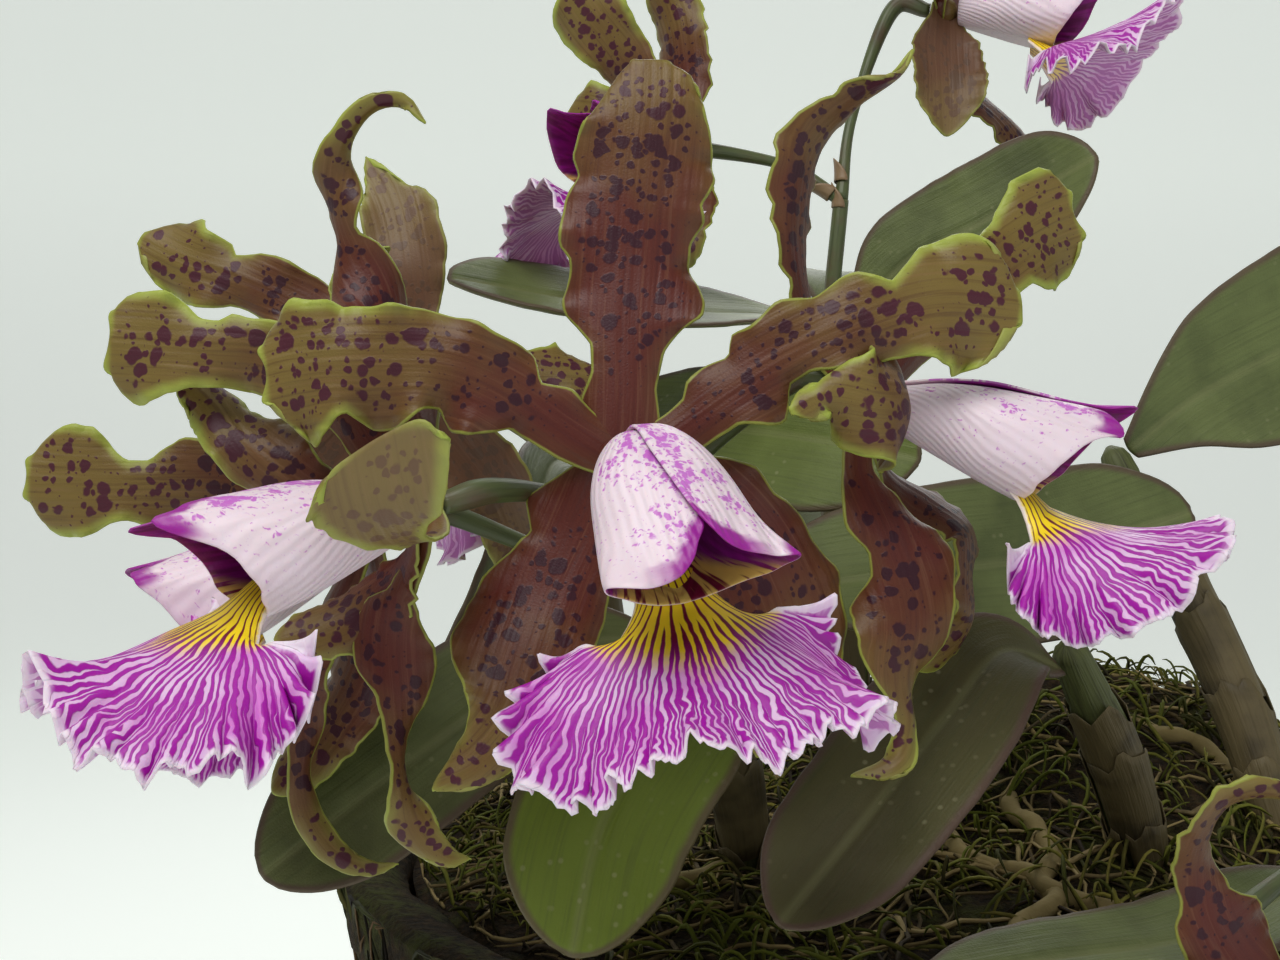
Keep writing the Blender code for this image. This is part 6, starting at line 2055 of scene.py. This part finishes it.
    def wall_fibres(self) -> Shell:
        """Wiry root fibres matted over the pot's outside."""
        draw, count = self.draw, self.fibre_count
        s = np.linspace(0, 1, self.strand_steps)
        foot = 3 + (self.height - 8) * draw.random(count)
        start = draw.random(count) * 2 * math.pi
        length = 10 + 26 * draw.random(count)
        slant = math.pi / 2 + draw.standard_normal(count) * 0.55
        bend = np.cumsum(draw.standard_normal((count, self.strand_steps)) * 0.22, axis=1)
        swing, climb = self.run(slant[:, None] + bend, length)
        z = np.clip(foot[:, None] + climb, 2, self.height - 1)
        reach = self.base_radius + (self.rim_radius - self.base_radius) * z / self.height
        lift = (0.3 + 1.5 * draw.random(count) ** 2)[:, None] * np.sin(math.pi * s)
        lines = upright(reach + lift - 0.2, start[:, None] + swing / reach, z)
        radii = 0.25 + 0.35 * draw.random(count)
        green = np.clip((foot / self.height - 0.72) * 2.2 + 0.25 * draw.standard_normal(count), 0, 0.8)
        return self.strew(lines, radii, draw.random(count) ** 1.3, green)


@dataclass(frozen=True)
class Lamp:
    """A soft square light that looks at the blooms: its place and side in mm, and its power in watts."""

    name: str
    place: tuple
    side: float
    power: float
    colour: tuple
    aim: tuple = (-50, -60, 200)

    def build(self) -> None:
        """Makes the light."""
        data = bpy.data.lights.new(self.name, "AREA")
        data.size, data.energy, data.color = self.side * MM, self.power, self.colour
        lamp = bpy.data.objects.new(self.name, data)
        lamp.location = Vector(self.place) * MM
        lamp.rotation_mode = "QUATERNION"
        lamp.rotation_quaternion = (Vector(self.aim) * MM - lamp.location).to_track_quat("-Z", "Y")
        bpy.context.scene.collection.objects.link(lamp)


LAMPS = (
    Lamp("key", (-200, -380, 640), 420, 2.75, (1.0, 0.985, 0.96)),
    Lamp("fill", (420, -520, 300), 620, 0.65, (0.97, 0.985, 1.0)),
    Lamp("back", (120, 520, 620), 500, 1.7, (1.0, 1.0, 1.0)),
)


@dataclass
class Studio:
    """A pale floor and backdrop, soft lights and the camera. Its lengths are in mm, the backdrop's in m."""

    camera_place: tuple = (-62.0, -315.0, 198.0)
    lens: float = 40.08
    sensor: float = 36.0
    nearest: float = 10.0
    daylight: tuple = (0.93, 0.95, 0.95, 1)
    daylight_strength: float = 0.20
    paper_glow: float = 0.46
    half_width: float = 6.0
    front: float = -4.0
    bend: float = 0.6
    wall_place: float = 1.5
    top: float = 4.5
    bend_steps: int = 24

    def build(self) -> None:
        """Makes the stage, the lights and the camera."""
        self.backdrop()
        for lamp in LAMPS:
            lamp.build()
        world = bpy.data.worlds.new("daylight")
        world.use_nodes = True
        ground = world.node_tree.nodes["Background"]
        ground.inputs["Color"].default_value = self.daylight
        ground.inputs["Strength"].default_value = self.daylight_strength
        scene = bpy.context.scene
        scene.world = world
        scene.view_settings.view_transform = "Standard"
        data = bpy.data.cameras.new("camera")
        data.lens, data.sensor_width = self.lens, self.sensor
        data.clip_start = self.nearest * MM
        camera = bpy.data.objects.new("camera", data)
        camera.location = np.array(self.camera_place) * MM
        camera.rotation_euler = (math.pi / 2, 0, 0)
        scene.collection.objects.link(camera)
        scene.camera = camera

    def backdrop(self) -> None:
        """A floor that curves up into a wall behind the plant."""
        turn = np.linspace(0, math.pi / 2, self.bend_steps)
        start, end = self.wall_place - self.bend, self.wall_place
        y = np.concatenate([[self.front], start + self.bend * np.sin(turn), [end]])
        z = np.concatenate([[0.0], self.bend - self.bend * np.cos(turn), [self.top]])
        points = [(x, b, c) for b, c in zip(y, z) for x in (-self.half_width, self.half_width)]
        faces = [(2 * i, 2 * i + 1, 2 * i + 3, 2 * i + 2) for i in range(len(y) - 1)]
        mesh = bpy.data.meshes.new("floor")
        mesh.from_pydata(points, [], faces)
        mesh.shade_smooth()
        paper = Graph(
            "pale_paper", base_color=tint(226, 231, 226), roughness=0.9, specular_ior_level=0.1,
            emission_color=tint(232, 236, 232), emission_strength=self.paper_glow,
        )
        mesh.materials.append(paper.material)
        floor = bpy.data.objects.new("floor", mesh)
        bpy.context.scene.collection.objects.link(floor)


def main() -> None:
    """Dresses the plant and sets the stage."""
    logging.basicConfig(level=logging.INFO, format="%(name)s: %(message)s")
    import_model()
    for bloom in BLOOMS:
        bloom.build()
    backs = {bloom.name: bloom.back() for bloom in BLOOMS}
    for name in STALKS:
        Stalk(name).build(backs)
    for name in CANES:
        Cane(name).build()
    for number, leaf in enumerate(LEAVES):
        leaf.build(number)
    Pot().build()
    Studio().build()


if __name__ == "__main__":
    main()
